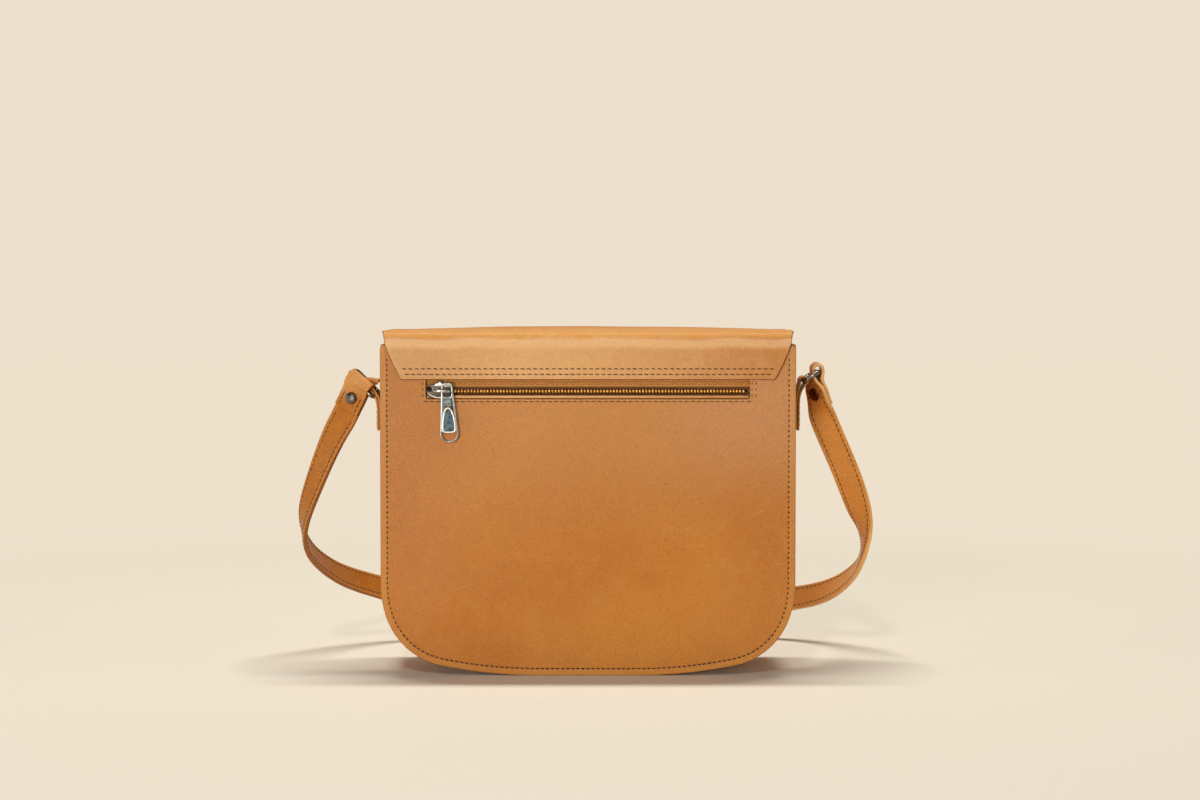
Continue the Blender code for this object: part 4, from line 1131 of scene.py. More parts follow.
def makeSlider():
    face, under = slider["face"], slider["under"]
    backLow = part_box("zip_slider")[1].y - 0.0012
    # the slider's face plate and its post in darker nickel: painted shade
    front = loftPiece("slider_front_plate", slabSections(sliderLoop(), face, under, 0.00045), ["nickelPaintedShade"])
    settle(front, "slider", "nickel", "zip_slider")
    back = loftPiece("slider_back_plate", slabSections(sliderLoop(), backLow, backLow + 0.0012, 0.0004),
                     ["nickel"])
    settle(back, "slider", "nickel")
    middle = (under + body["gap"] - body["panelFace"]) / 2 + 0.0002 - face
    for name, sign in (("slider_lip_top", 1), ("slider_lip_bottom", -1)):
        lip = [(x, middle, sign * z) for x, z in ((-0.0100, 0.0040), (-0.0060, 0.0036), (0.0012, 0.0033))]
        rod(name, lip, 0.0004, 0.0013, "nickel")
    path = [Vector((slider["x"] - 0.0108, y, slider["z"])) for y in (face, -0.0380, backLow + 0.0004)]
    post = tubePoints(path, Vector((1, 0, 0)), 0.0020, 0.00035, 10, 0.7)
    settle(loftPiece("slider_post", post, ["nickelPaintedShade"]), "slider", "nickel")
    rod("slider_bridge", [(-0.0101, 0.0003, 0), (-0.0101, -0.0016, 0), (-0.0094, -0.0027, 0.0001),
                          (-0.0078, -0.0033, 0.0002), (-0.0056, -0.0036, 0.0003), (-0.0034, -0.0036, 0.0003),
                          (-0.0014, -0.0034, 0.0002), (-0.0002, -0.0026, 0), (0.0001, -0.0010, 0),
                          (0.0001, 0.0003, 0)], 0.0010, 0.00062, "nickel")
    # the lower lip and the crown in paler nickel: painted highlight
    rod("slider_rim", [(-0.0140, 0.0003, -0.0014), (-0.0125, 0.0003, -0.0025), (-0.0105, 0.0003, -0.0034),
                       (-0.0080, 0.0003, -0.0041), (-0.0050, 0.0003, -0.0042), (-0.0020, 0.0003, -0.0038)],
        0.00058, 0.00058, "rim")
    crown = [(-0.0108, 0.0034), (-0.0096, 0.0048), (-0.0080, 0.0060), (-0.0064, 0.0065), (-0.0050, 0.0061),
             (-0.0036, 0.0053), (-0.0022, 0.0052), (-0.0010, 0.0057), (0.0002, 0.0056), (0.0012, 0.0048),
             (0.0015, 0.0034), (0.0006, 0.0023), (-0.0020, 0.0020), (-0.0055, 0.0024), (-0.0088, 0.0026)]
    spine = [(-0.0092, 0.0038), (-0.0064, 0.0045), (-0.0030, 0.0036), (-0.0002, 0.0039)]
    pillow("slider_crown", smoothPlane(crown + crown[:1], 3)[:-1], spine, 0.0013, "rim")
    # a dark dome at the nose, where the teeth enter: painted shade
    nose = [(-0.0131 + 0.0018 * c, 0.0012 + 0.0018 * s) for c, s in around(18)]
    pillow("slider_nose_painted_shade", nose, [(-0.0132, 0.0012), (-0.0130, 0.0012)], 0.0008, "dark")
    eyelet = [(-0.0088 + 0.0008 * c, 0.0007 + 0.0008 * s) for c, s in around(14)]
    pillow("slider_rivet", eyelet, [(-0.0089, 0.0007), (-0.0087, 0.0007)], 0.0006, "nickel")


def smoothLine(points, parts):
    # curve through the points, each span cut in parts
    padded = [points[0] * 2 - points[1]] + list(points) + [points[-1] * 2 - points[-2]]
    line = []
    for i in range(len(points) - 1):
        p0, p1, p2, p3 = padded[i:i + 4]
        for k in range(parts):
            t = k / parts
            line.append(0.5 * (2 * p1 + (p2 - p0) * t + (2 * p0 - 5 * p1 + 4 * p2 - p3) * t * t
                               + (3 * p1 - p0 - 3 * p2 + p3) * t ** 3))
    line.append(points[-1])
    return line


puller = {
    "tilt": math.radians(-3.0), "aside": -0.0015, "near": -0.0424, "thick": 0.0014, "top": 0.0056,
    "footZ": -0.0273, "foot": 0.0060, "grip": 0.0050,
}


def pullerPlace(near):
    # maps the puller's own middle line into space, hung on the bridge with its small tilt
    turn = Matrix.Rotation(puller["tilt"], 3, "Y")

    def place(u, v, depth):
        spot = turn @ Vector((u + puller["aside"], 0, v))
        return Vector((slider["x"] + spot.x, near + depth, slider["z"] + spot.z))
    return place


def makePuller():
    foot = arcPoints((0, puller["footZ"]), puller["foot"], -90, 0, 14)
    top = puller["top"]
    side = evenly([foot[-1], (0.0037, top - 0.0024)], 0.0012)[1:]
    side += [(0.0036, top - 0.0014), (0.0031, top - 0.0006), (0.0022, top - 0.0001), (0.0011, top)]
    outline = mirrored(foot + side)
    eye = finer(boxLoop((-0.0026, -0.0035), (0.0026, top - 0.0019), 0.0010), 0.0009)
    grip = arcPoints((0, puller["footZ"]), puller["grip"], -180, 0, 24)
    grip += [(0.0049, -0.0262), (0.0035, -0.0263), (0.0018, -0.0268), (0.0, -0.0270), (-0.0018, -0.0268),
             (-0.0035, -0.0263), (-0.0049, -0.0262)]
    made = sheetPiece("puller_frame", outline, pullerPlace(puller["near"]), puller["thick"], ["frame"],
                      rings=(0.0006,), spacing=0.0012, rounding=0.00034, holes=[eye[::-1], grip[::-1]])
    settle(made, "puller", "nickel", "zip_puller")
    # the hollow between the rails in darker nickel, a painted shade, then the raised tongue with its pale
    # rim, a painted highlight
    inlay = [(0.0, -0.0262), (0.0034, -0.0258), (0.0044, -0.0246), (0.0040, -0.0180), (0.0035, -0.0110),
             (0.0031, -0.0046), (0.0, -0.0045)]
    hollow = sheetPiece("puller_hollow", mirrored(evenly(inlay, 0.0011)),
                        pullerPlace(puller["near"] - 0.00006), 0.0005, ["nickelPaintedShade"], rings=(), spacing=0.0014,
                        rounding=0.00006, steps=1)
    settle(hollow, "puller", "nickel")
    tongue = [(0.0, -0.0271), (0.0018, -0.0270), (0.0034, -0.0266), (0.0043, -0.0256), (0.0046, -0.0240),
              (0.0045, -0.0215), (0.0041, -0.0180), (0.0036, -0.0155), (0.0029, -0.0131), (0.0020, -0.0114),
              (0.0010, -0.0106), (0.0, -0.0103)]
    loop = mirrored(smoothPlane(tongue, 3))
    near = puller["near"] - 0.0006
    rimPiece = sheetPiece("puller_tongue_rim", loop, pullerPlace(near), 0.0010, ["rim"], rings=(),
                          spacing=0.0014, rounding=0.0003, holes=[insetLoop(loop, 0.0011)[::-1]])
    settle(rimPiece, "puller", "nickel")
    field = sheetPiece("puller_tongue_field", insetLoop(loop, 0.0009), pullerPlace(near + 0.00022), 0.0006,
                       ["satin"], rings=(0.0005,), spacing=0.0012, rounding=0.0001, steps=1)
    settle(field, "puller", "nickel")
    neck = finer([(-0.0033, -0.0084), (0.0033, -0.0084), (0.0031, -0.0048), (-0.0031, -0.0048)], 0.0011)
    band = sheetPiece("puller_neck_band", neck, pullerPlace(puller["near"] - 0.00022), 0.0005, ["band"],
                      rings=(), spacing=0.0014, rounding=0.0001, steps=1)
    settle(band, "puller", "nickel")
    # two fine ridges across the neck
    place = pullerPlace(puller["near"])
    for name, z, half in (("puller_ridge_top", -0.0044, 0.0030), ("puller_ridge_bottom", -0.0090, 0.0034)):
        path = [place(x, z, -0.00010) for x in (-half, -half / 2, 0, half / 2, half)]
        ridge = loftPiece(name, tubePoints(path, Vector((0, 0, 1)), 0.00022, 0.00024, 8), ["nickel"])
        settle(ridge, "puller", "nickel")


def smoothPlane(points, parts):
    return [(p.x, p.y) for p in smoothLine([Vector((x, y, 0)) for x, y in points], parts)]


zipSeam = {"left": -0.1073, "right": 0.1064, "low": 0.1788, "high": 0.1925, "apart": 0.0026}


def makeZipSeam():
    # sewn box round the zip window, with a doubled line at the zip's closed end
    left, right, low = zipSeam["left"], zipSeam["right"], zipSeam["low"]
    out = Vector((0, -1, 0))

    def line(a, b):
        return [(backPlace(x, z, 0.0), out) for x, z in
                ((a[0] + (b[0] - a[0]) * i / 40, a[1] + (b[1] - a[1]) * i / 40) for i in range(41))]
    runs = stitchesAlong(line((left, low), (right, low)))
    for x in (left, right, right + zipSeam["apart"]):
        runs += stitchesAlong(line((x, low + 0.002), (x, zipSeam["high"])), "zipSide")
    settle(stitchPiece("zip_stitches", runs, 0.9), "bag", "tan_leather")


def makePocket():
    low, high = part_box("zip_pocket")
    ease = 0.008
    loop = [(low.x, high.z), (low.x, low.z + ease)]
    loop += arcPoints((low.x + ease, low.z + ease), ease, 180, 270, 5)[1:]
    loop += arcPoints((high.x - ease, low.z + ease), ease, 270, 360, 5) + [(high.x, high.z)]

    def place(u, v, depth):
        soft = within((high.z - v - 0.03) / 0.04)
        return Vector((u, low.y + depth + 0.0008 * soft * noise.noise(Vector((u * 24, v * 24, 5.0))), v))
    made = sheetPiece("zip_pocket_cloth", finer(loop, 0.005), place, high.y - low.y, ["pocket"],
                      rings=(0.003,), rounding=0.0006)
    settle(made, "bag", "pocket_cloth", "zip_pocket")


makeTapes()
makeTeeth()
makeSlider()
makePuller()
makeZipSeam()
makePocket()
print("zip closed")


# Strap: its route repeats the CAD's points, from the left ring round the front to the right ring

strap = {
    "width": 0.0180, "thick": 0.0030, "lap": 0.0020, "loop": 0.0022, "offset": 0.0040, "rivetAt": 0.0155,
    "lapEnd": 0.0240, "wire": 0.0014, "ringLength": 0.0110, "ringInner": 0.0200, "rivet": 0.0040,
    "ease": 0.0007, "seam": 0.0026, "gaps": (0.0014, 0.0021, 0.0026, 0.0031, 0.0042, 0.0062),
    "softness": 0.06, "ringBend": 0.0030,
}
sides = {
    "left": {"sign": -1, "bar": Vector((-0.1466, 0.0030, 0.1902)), "tilt": -11.0, "yaw": -68.0,
             "roll": 45.0, "short": 0.0035, "slide": 0.0018},
    "right": {"sign": 1, "bar": Vector((0.1428, 0.0, 0.1912)), "tilt": 32.0, "yaw": 0.0,
              "roll": 0.0, "short": 0.0, "slide": 0.0},
}
leftRoute = [
    ((-0.1561, -0.0030, 0.1795), (-0.28, -0.95, 0.0)),
    ((-0.1634, 0.0010, 0.1655), (-0.24, -0.97, 0.0)),
    ((-0.1716, 0.0060, 0.1512), (-0.54, -0.84, 0.0)),
    ((-0.1836, 0.0150, 0.1238), (-0.75, -0.66, 0.0)),
    ((-0.1942, 0.0300, 0.0965), (-0.90, -0.43, 0.0)),
    ((-0.1948, 0.0430, 0.0796), (-0.99, -0.06, -0.10)),
    ((-0.1903, 0.0550, 0.0682), (-0.94, 0.05, -0.33)),
    ((-0.1750, 0.0790, 0.0522), (-0.80, 0.32, -0.46)),
    ((-0.1490, 0.1050, 0.0396), (-0.66, 0.57, -0.46)),
    ((-0.1050, 0.1265, 0.0255), (-0.36, 0.90, -0.25)),
    ((-0.0540, 0.1370, 0.0135), (-0.10, 0.99, 0.0)),
]
frontPoint = ((0.0, 0.1400, 0.0095), (0.0, 1.0, 0.0))
rightRoute = [
    ((0.1518, 0.0012, 0.1825), (0.80, 0.60, 0.0)),
    ((0.1568, 0.0030, 0.1655), (0.10, 0.99, 0.0)),
    ((0.1631, 0.0060, 0.1512), (0.10, 0.99, 0.0)),
    ((0.1753, 0.0135, 0.1240), (0.20, 0.98, 0.0)),
    ((0.1853, 0.0260, 0.0965), (0.64, 0.77, 0.0)),
    ((0.1885, 0.0400, 0.0800), (0.93, 0.33, -0.12)),
    ((0.1888, 0.0560, 0.0655), (0.95, 0.02, -0.32)),
    ((0.1848, 0.0740, 0.0532), (0.85, 0.09, -0.48)),
    ((0.1680, 0.1010, 0.0368), (0.80, 0.37, -0.46)),
    ((0.1320, 0.1255, 0.0265), (0.50, 0.72, -0.45)),
    ((0.0640, 0.1380, 0.0140), (0.12, 0.99, 0.0)),
]


def ringAxes(side):
    facts = sides[side]
    yaw, tilt = math.radians(facts["yaw"]), math.radians(facts["tilt"])
    level = Vector((facts["sign"] * math.cos(yaw), math.sin(yaw), 0))
    bar = Vector((math.sin(yaw), -facts["sign"] * math.cos(yaw), 0)) * -facts["sign"]
    out = level * math.cos(tilt) + Vector((0, 0, 1)) * math.sin(tilt)
    roll = Matrix.Rotation(math.radians(facts["roll"]) * facts["sign"], 3, out)
    bar = roll @ bar
    return bar, out, bar.cross(out)


def strapStart(side, towards):
    # the strap leaves the ring's outer bar squarely, lap outwards
    bar, out, _ = ringAxes(side)
    facts = sides[side]
    along = towards - facts["bar"] - out * strap["ringLength"]
    along = (along - bar * along.dot(bar)).normalized()
    face = bar.cross(along)
    if face.dot(Vector((out.x, out.y, 0))) < 0:
        face = -face
    spot = facts["bar"] + out * strap["ringLength"] - face * strap["offset"] + bar * facts["slide"]
    return spot, face, along


def easedTurn(t, span, last):
    # no twist where the strap rounds a ring and under its rivets
    if span in (0, last):
        return t * t * (3 - 2 * t)
    if span == 1:
        return t * t
    if span == last - 1:
        return 1 - (1 - t) ** 2
    return t


def strapFrames():
    first = strapStart("left", Vector(leftRoute[0][0]))
    last = strapStart("right", Vector(rightRoute[0][0]))
    keys = [first[:2]] + leftRoute + [frontPoint] + list(reversed(rightRoute)) + [last[:2]]
    spots = [Vector(spot) for spot, _ in keys]
    facing = [Vector(face).normalized() for _, face in keys]
    padded = [spots[0] - first[2] * 0.020] + spots + [spots[-1] - last[2] * 0.020]
    fine = []
    for i in range(len(keys) - 1):
        p0, p1, p2, p3 = padded[i:i + 4]
        bend = 2 * p0 - 5 * p1 + 4 * p2 - p3
        twist = 3 * p1 - p0 - 3 * p2 + p3
        steps = max(4, int((p2 - p1).length / 0.0015))
        for k in range(steps + (i == len(keys) - 2)):
            t = k / steps
            spot = 0.5 * (2 * p1 + (p2 - p0) * t + bend * t * t + twist * t ** 3)
            along = (p2 - p0) + bend * 2 * t + twist * 3 * t * t
            turn = easedTurn(t, i, len(keys) - 2)
            fine.append((spot, along.normalized(), facing[i].slerp(facing[i + 1], turn, facing[i + 1])))
    frames = []
    length = 0.0
    fine = calmed(fine)
    for i, (spot, along, face) in enumerate(fine):
        if i:
            length += (spot - fine[i - 1][0]).length
        frames.append((length, spot, along, (face - along * face.dot(along)).normalized()))
    return frames


def calmed(fine):
    # evens out the bends and the twist away from the two rings
    spots = np.array([tuple(spot) for spot, _, _ in fine])
    faces = np.array([tuple(face) for _, _, face in fine])
    steps = np.linalg.norm(np.diff(spots, axis=0), axis=1)
    lengths = np.concatenate([[0.0], np.cumsum(steps)])
    ends = np.minimum(lengths, lengths[-1] - lengths)
    result = []
    for i, at in enumerate(lengths):
        reach = 0.009 * within((ends[i] - 0.022) / 0.03)
        if reach < 1e-4:
            result.append(fine[i])
            continue
        weight = np.exp(-0.5 * ((lengths - at) / reach) ** 2)
        weight /= weight.sum()
        spot = Vector((weight[:, None] * spots).sum(0))
        face = Vector((weight[:, None] * faces).sum(0)).normalized()
        result.append((spot, fine[i][1], face))
    final = []
    for i, (spot, along, face) in enumerate(result):
        if 0 < i < len(result) - 1:
            along = (result[i + 1][0] - result[i - 1][0]).normalized()
        final.append((spot, along, face))
    return final


strapLine = strapFrames()
strapLengths = [entry[0] for entry in strapLine]
strapTotal = strapLengths[-1]


def strapAt(length):
    if length <= 0 or length >= strapTotal:
        _, spot, along, face = strapLine[0] if length <= 0 else strapLine[-1]
        return spot + along * (length if length <= 0 else length - strapTotal), along, face
    low = min(len(strapLine) - 2, int(np.searchsorted(strapLengths, length, "right")) - 1)
    first, second = strapLine[low], strapLine[low + 1]
    share = (length - first[0]) / (second[0] - first[0])
    along = first[2].lerp(second[2], share).normalized()
    return first[1].lerp(second[1], share), along, first[3].lerp(second[3], share).normalized()


def strapPlace(a, b, c):
    # along from the left ring, out of the riveted face, and across
    spot, along, face = strapAt(a)
    return spot + face * b + along.cross(face) * c


def loopEnd(short):
    # lap end, round the ring, and into the main run: (along, out, half thickness) from one end
    middle = strap["loop"] + strap["lap"] / 2
    far = strap["offset"] + middle
    near = strap["offset"] - middle
    lap = strap["thick"] / 2 + body["gap"] * 0.4 + strap["lap"] / 2
    thin, full = strap["lap"] / 2, strap["thick"] / 2
    tail = strap["lapEnd"] - short
    path = [(tail, lap, thin * 0.75), (tail - 0.0012, lap, thin), (tail - 0.0040, lap, thin),
            (0.0145 - short * 0.5, lap, thin), (0.0115, lap, thin)]
    for a, share in ((0.0095, 0.94), (0.0080, 0.85), (0.0062, 0.66), (0.0045, 0.42), (0.0026, 0.16)):
        path.append((a, far - (far - lap) * share, thin))
    path.append((0.0008, far, thin))
    for degrees in range(172, 0, -12):
        a = math.radians(degrees)
        path.append((-0.0013 - middle * math.sin(a), strap["offset"] - middle * math.cos(a), thin))
    path += [(0.0008, near, thin), (0.0026, near * 0.80, thin * 1.05), (0.0045, near * 0.38, 0.00115),
             (0.0062, near * 0.12, 0.00128), (0.0080, 0.0, 0.00138), (0.0100, 0.0, full), (0.0120, 0.0, full)]
    pull = 1 - short / 0.0175
    return [(a * pull if 0 < a < 0.0121 else a, b, half) for a, b, half in path]


def strapPath():
    left = loopEnd(sides["left"]["short"])
    right = [(strapTotal - a, b, half) for a, b, half in reversed(loopEnd(sides["right"]["short"]))]
    span = right[0][0] - left[-1][0]
    count = round(span / 0.0026)
    middle = [(left[-1][0] + span / count * i, 0.0, strap["thick"] / 2) for i in range(1, count)]
    return left + middle + right


def stripSection(half, wide, ease, steps, gaps):
    # (out, across, inset, wall) round a strip with eased corners; gaps are places in from its edges
    corner = []
    for k in range(steps + 1):
        a = math.radians(90 * k / steps)
        corner.append((half - ease + ease * math.cos(a), wide - ease + ease * math.sin(a),
                       ease * (1 - math.sin(a)), 1.0 if a > 0.7 else 0.0))
    right = [(half, 0.0, wide, 0.0)] + [(half, wide - n, n, 0.0) for n in reversed(gaps)] + corner
    right += [(-b, c, n, w) for b, c, n, w in reversed(corner)] + [(-half, wide - n, n, 0.0) for n in gaps]
    left = [(b, -c, n, w) for b, c, n, w in reversed(right[1:])]
    return right + [(-half, 0.0, wide, 0.0)] + left


def squareTo(path, i):
    # direction out of a folded strip at one place of its path
    before, after = path[max(0, i - 1)], path[min(len(path) - 1, i + 1)]
    along = Vector((after[0] - before[0], after[1] - before[1])).normalized()
    return Vector((-along.y, along.x))


def makeStrap():
    sections, inset, wall = [], [], []
    path = strapPath()
    for i, (a, b, half) in enumerate(path):
        normal = squareTo(path, i)
        ring = []
        for out, across, gap, cut in stripSection(half, strap["width"] / 2, min(strap["ease"], half * 0.8), 3,
                                                  strap["gaps"]):
            puff = 1.0 - strap["softness"] * (1 - abs(across) / (strap["width"] / 2))
            ring.append(strapPlace(a + normal.x * out * puff, b + normal.y * out * puff, across))
            inset.append(gap)
            wall.append(cut)
        sections.append(ring)
    made = loftPiece("strap_leather", sections, ["strap"], inset=inset, wall=wall)
    zone = ((0, 0, 0.1735), (0, 0, 0.1575))
    settleBent(made, ("bag", "strap"), zone, "tan_leather", "left_strap_end", "right_strap_end", "strap_band")
    runs = []
    lane = strap["width"] / 2 - strap["seam"]
    half = strap["thick"] / 2
    lapFace = half + body["gap"] * 0.4 + strap["lap"]
    for side in (-1, 1):
        for out in (1, -1):
            first = strap["lapEnd"] + 0.002 if out > 0 else 0.012
            steps = round((strapTotal - 2 * first) / 0.003)
            line = []
            for i in range(steps + 1):
                a = first + (strapTotal - 2 * first) * i / steps
                line.append((strapPlace(a, out * half, side * lane), strapAt(a)[2] * out))
            runs += stitchesAlong(line, "strap")
        for end, facts in sides.items():
            line = []
            for i in range(12):
                a = 0.0100 + (strap["lapEnd"] - facts["short"] - 0.0112) * i / 11
                a = strapTotal - a if end == "right" else a
                line.append((strapPlace(a, lapFace, side * lane), strapAt(a)[2]))
            runs += stitchesAlong(line, "strap")
    thread = stitchPiece("strap_stitches", runs, 0.85)
    settleBent(thread, ("bag", "strap"), zone, "tan_leather")


def makeRing(side):
    bar, out, square = ringAxes(side)
    half = strap["ringInner"] / 2 + strap["wire"]
    bend = strap["ringBend"]
    far = strap["ringLength"] - bend
    path = []
    for u, v, start in ((far, half - bend, 0), (bend, half - bend, 90), (bend, bend - half, 180),
                        (far, bend - half, 270)):
        path += arcPoints((u, v), bend, start, start + 90, 7)
    sections = []
    for i, (u, v) in enumerate(path):
        before, after = path[i - 1], path[(i + 1) % len(path)]
        along = (out * (after[0] - before[0]) + bar * (after[1] - before[1])).normalized()
        across = along.cross(square).normalized()
        middle = sides[side]["bar"] + out * u + bar * v
        sections.append([middle + strap["wire"] * (across * c + square * s) for c, s in around(18)])
    settle(loftPiece(f"{side}_ring_wire", sections, ["ring"], closed=True), f"{side}_ring", "nickel",
           f"{side}_ring")


def turnedPiece(name, profile, turn, coat):
    sections = [[turn @ Vector((r * c, r * s, h)) for r, h in profile] for c, s in around(36)]
    return loftPiece(name, sections, [coat], closed=True)


def makeRivet(side):
    # browned flange on the inner face and a domed cap on the lap
    at = strapTotal - strap["rivetAt"] if side == "right" else strap["rivetAt"] - sides[side]["short"]
    spot, along, face = strapAt(at)
    across = along.cross(face)
    turn = Matrix.Translation(spot) @ Matrix((across, face.cross(across), face)).transposed().to_4x4()
    seat = strap["thick"] / 2 + body["gap"] * 0.4 + strap["lap"]
    low = -strap["thick"] / 2
    r = strap["rivet"]
    cap = [(r * share, seat + rise) for share, rise in (
        (0, 0.0022), (0.30, 0.00215), (0.58, 0.0019), (0.80, 0.0014), (0.94, 0.0008), (1, 0.0003), (0.97, 0),
        (0, -0.0002))]
    settle(turnedPiece(f"{side}_rivet_dome", cap, turn, "rivet"), "bag", "nickel", f"{side}_rivet_cap")
    wide = r + 0.0003
    flange = [(0, low - 0.0009), (0.0010, low - 0.0009), (0.0014, low - 0.0013), (wide * 0.78, low - 0.0013),
              (wide * 0.95, low - 0.0010), (wide, low - 0.0005), (wide * 0.97, low + 0.0001),
              (0, low + 0.0002)]
    settle(turnedPiece(f"{side}_rivet_flange", flange, turn, "brown"), "bag", "dark_rivet",
           f"{side}_rivet_post")


# Side tabs: doubled leather that holds the rings, its path given as (down from the ring, out, half thickness)

sideTab = {
    "layer": 0.0014, "eye": 0.00175, "width": 0.0180, "low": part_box("left_side_tab")[0].z,
    "lean": math.radians(25), "curved": 0.0158, "corner": 0.004, "gaps": (0.0017, 0.0025, 0.0033, 0.0050),
}


def tabPlace(side):
    # maps (down from the ring bar, out from the bag, across) into space
    sign = sides[side]["sign"]
    axis = ringAxes(side)[0]
    if axis.y < 0:
        axis = -axis
    seat = body["halfWidth"] + 0.0016 + body["gap"] * 1.5 + sideTab["layer"]
    top = sides[side]["bar"]
    level = Vector((axis.y * -sign, axis.x * sign, 0))
    start = level * math.sin(sideTab["lean"]) - Vector((0, 0, math.cos(sideTab["lean"])))
    foot = Vector((sign * seat, 0, top.z - 0.0150))
    knots = [top, top + start * 0.0060, foot + Vector((sign * 0.0003, 0, 0.0060)), foot]

    def place(a, b, c):
        t = within(a / sideTab["curved"])
        s = 1 - t
        centre = knots[0] * s ** 3 + knots[1] * 3 * s * s * t + knots[2] * 3 * s * t * t + knots[3] * t ** 3
        along = ((knots[1] - knots[0]) * s * s + (knots[2] - knots[1]) * 2 * s * t
                 + (knots[3] - knots[2]) * t * t).normalized()
        if a < 0:
            centre = top + start * a
        elif a > sideTab["curved"]:
            centre = foot - Vector((0, 0, a - sideTab["curved"]))
        across = axis.lerp(Vector((0, 1, 0)), within((a - 0.0030) / 0.0100))
        across = (across - along * across.dot(along)).normalized()
        out = across.cross(along)
        if out.x * sign < 0:
            out = -out
        return centre + out * b + across * c
    return place, sideTab["curved"] + foot.z - sideTab["low"]


def makeSideTab(side):
    place, length = tabPlace(side)
    half = sideTab["layer"] / 2
    layer = half + body["gap"] / 2
    eye = sideTab["eye"] + half
    outward = [(length - 0.0002, layer, half * 0.6), (length - 0.0009, layer, half)]
    outward += [(length * share, layer, half) for share in (0.85, 0.7, 0.55, 0.42)]
    outward += [(a, layer + rise, half) for a, rise in (
        (0.0125, 0), (0.0105, 0), (0.0085, 0), (0.0068, 0.0001), (0.0054, 0.0003), (0.0042, 0.0006))]
    turn = [(-eye * math.sin(math.radians(d)), eye * math.cos(math.radians(d)), half)
            for d in range(-45, 226, 15)]
    path = outward + turn + [(a, -b, h) for a, b, h in reversed(outward)]
    wide, r = sideTab["width"] / 2, sideTab["corner"]
    sections, inset, wall = [], [], []
    for i, (a, b, h) in enumerate(path):
        normal = squareTo(path, i)
        toEnd = length - a
        narrow = wide - max(0.0, r - math.sqrt(max(0.0, r ** 2 - max(0.0, r - toEnd) ** 2)))
        ring = []
        for out, across, gap, cut in stripSection(h, narrow, h * 0.7, 2, sideTab["gaps"]):
            ring.append(place(a + normal.x * out, b + normal.y * out, across))
            inset.append(min(gap, toEnd) if toEnd > 0 else gap)
            wall.append(max(cut, 1.0 if toEnd < 0.0006 else 0.0))
        sections.append(ring)
    made = loftPiece(f"{side}_side_tab_leather", sections, ["tab"], inset=inset, wall=wall)
    settle(made, "bag", "tan_leather", f"{side}_side_tab")
    lane = wide - 0.0025
    surface = layer + half
    corners = [(0.0120, lane), (length - 0.0030, lane), (length - 0.0030, -lane), (0.0120, -lane)]
    line = []
    for first, second in zip(corners, corners[1:]):
        for a, across in evenly([first, second], 0.0008)[:-1]:
            spot = place(a, surface, across)
            line.append((spot, (place(a, surface + 0.001, across) - spot).normalized()))
    runs = stitchesAlong(line, "tab")
    settle(stitchPiece(f"{side}_tab_stitches", runs, 0.85), "bag", "tan_leather")


makeStrap()
for side in sides:
    makeRing(side)
    makeRivet(side)
    makeSideTab(side)
print(f"strap of {strapTotal * 1000:.0f} mm hung on its rings")


# The snap and the zip's stops keep their turned and folded shapes, with a finer finish

keptNodes = {
    "snap": ("snap_socket", "snap_stud", "snap_socket_washer", "snap_stud_washer"),
    "stop": ("zip_stop_left", "zip_stop_right"),
}


def finishNodes():
    for look, nodes in keptNodes.items():
        for node in nodes:
            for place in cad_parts[node].material_slots:
                place.material = looks[look]


finishNodes()
print("snap and stops finished")


# Floor, backdrop and light

ground = {
    "near": (229, 221, 203), "low": (238, 224, 203), "top": (236, 224, 206),
    "wide": 4.0, "back": 2.4, "bend": 1.0, "high": 3.2, "front": -2.6,
}


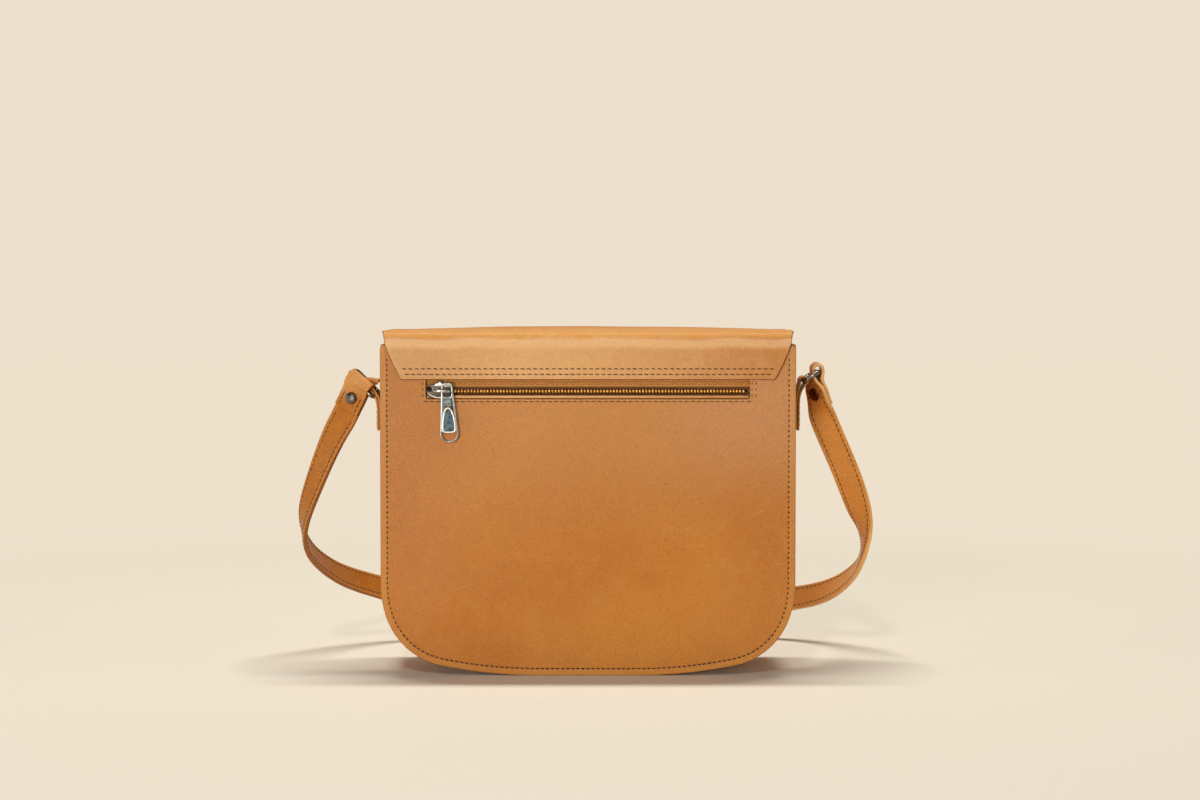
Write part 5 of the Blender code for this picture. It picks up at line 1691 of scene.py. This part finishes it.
def makeGround():
    line = [(ground["front"], 0.0), (ground["back"] - ground["bend"], 0.0)]
    line += arcPoints((ground["back"] - ground["bend"], ground["bend"]), ground["bend"], -90, 0, 16)[1:]
    line.append((ground["back"], ground["high"]))
    points = [(x, y, z) for y, z in line for x in (-ground["wide"], ground["wide"])]
    faces = [(2 * i, 2 * i + 1, 2 * i + 3, 2 * i + 2) for i in range(len(line) - 1)]
    look, tree, shader = newLook("seamless_paper")
    place = addNode(tree, "TexCoord", {})["Object"]
    far = rescale(tree, addNode(tree, "VectorMath", {0: place}, operation="LENGTH")["Value"], 0.42, 1.0)
    high = rescale(tree, addNode(tree, "SeparateXYZ", {0: place})["Z"], 0.0, 1.0)
    colour = blendColour(tree, far, ground["near"], ground["low"])
    colour = blendColour(tree, high, colour, ground["top"])
    rough = rescale(tree, noiseValue(tree, place, 900.0, 2.0), 0.3, 0.7, 0.86, 0.94)
    setInputs(tree, shader, {"Base Color": colour, "Roughness": rough, "Specular IOR Level": 0.2})
    # away from the bag the paper shows its own colour to the camera, to gloss and through glass
    rays = addNode(tree, "LightPath", {})
    seen = reckon(tree, "MAXIMUM", reckon(tree, "MAXIMUM", rays["Is Camera Ray"], rays["Is Glossy Ray"]),
                  rays["Is Transmission Ray"])
    glow = addNode(tree, "Emission", {"Color": colour, "Strength": 1.0})[0]
    mixed = addNode(tree, "MixShader", {0: times(tree, seen, far), 1: shader.outputs[0], 2: glow})[0]
    tree.links.new(mixed, tree.nodes["Material Output"].inputs["Surface"])
    mesh = bpy.data.meshes.new("studio_floor")
    mesh.from_pydata(points, [], faces)
    mesh.shade_smooth()
    mesh.materials.append(look)
    placeObject("studio_floor", mesh)


# where each lamp stands, what it looks at, how wide and high it is, and its power
lamps = {
    "ceiling": ((0.0, 0.37, 2.60), (0.0, 0.0, 0.0), 1.7, 0.18, 58.0),
    "front": ((-1.05, -2.75, 0.20), (0.0, 0.0, 0.12), 0.8, 0.8, 48.5),
    "high": ((-0.30, -1.95, 1.50), (0.0, 0.0, 0.12), 0.15, 0.15, 9.5),
    "left": ((-2.40, -0.40, 0.22), (0.0, 0.0, 0.12), 1.0, 1.0, 14.0),
    "right": ((2.40, -0.60, 0.22), (0.0, 0.0, 0.12), 1.0, 1.0, 13.0),
}
lampColour = (1.0, 0.98, 0.96)
sky = {"colour": (250, 246, 240), "zenith": 0.08, "level": 0.07}


def makeLight():
    for name, (place, aim, wide, high, power) in lamps.items():
        data = bpy.data.lights.new(f"{name}_lamp", "AREA")
        data.shape = "RECTANGLE"
        data.size = wide
        data.size_y = high
        data.energy = power
        data.color = lampColour
        lamp = placeObject(f"{name}_lamp", data)
        lamp.location = place
        lamp.rotation_euler = (Vector(aim) - Vector(place)).to_track_quat("-Z", "Y").to_euler()
    world = bpy.data.worlds.new("studio")
    world.use_nodes = True
    bpy.context.scene.world = world
    tree = world.node_tree
    height = addNode(tree, "SeparateXYZ", {0: addNode(tree, "TexCoord", {})["Generated"]})[2]
    light = rescale(tree, height, 0.0, 0.9, sky["level"], sky["zenith"])
    seen = addNode(tree, "LightPath", {})["Is Camera Ray"]
    setInputs(tree, tree.nodes["Background"], {
        "Strength": reckon(tree, "MAXIMUM", light, seen),
        "Color": blendColour(tree, seen, sky["colour"], ground["top"]),
    })
    bpy.context.scene.view_settings.view_transform = "Standard"


makeGround()
makeLight()
print("floor laid and lamps set")
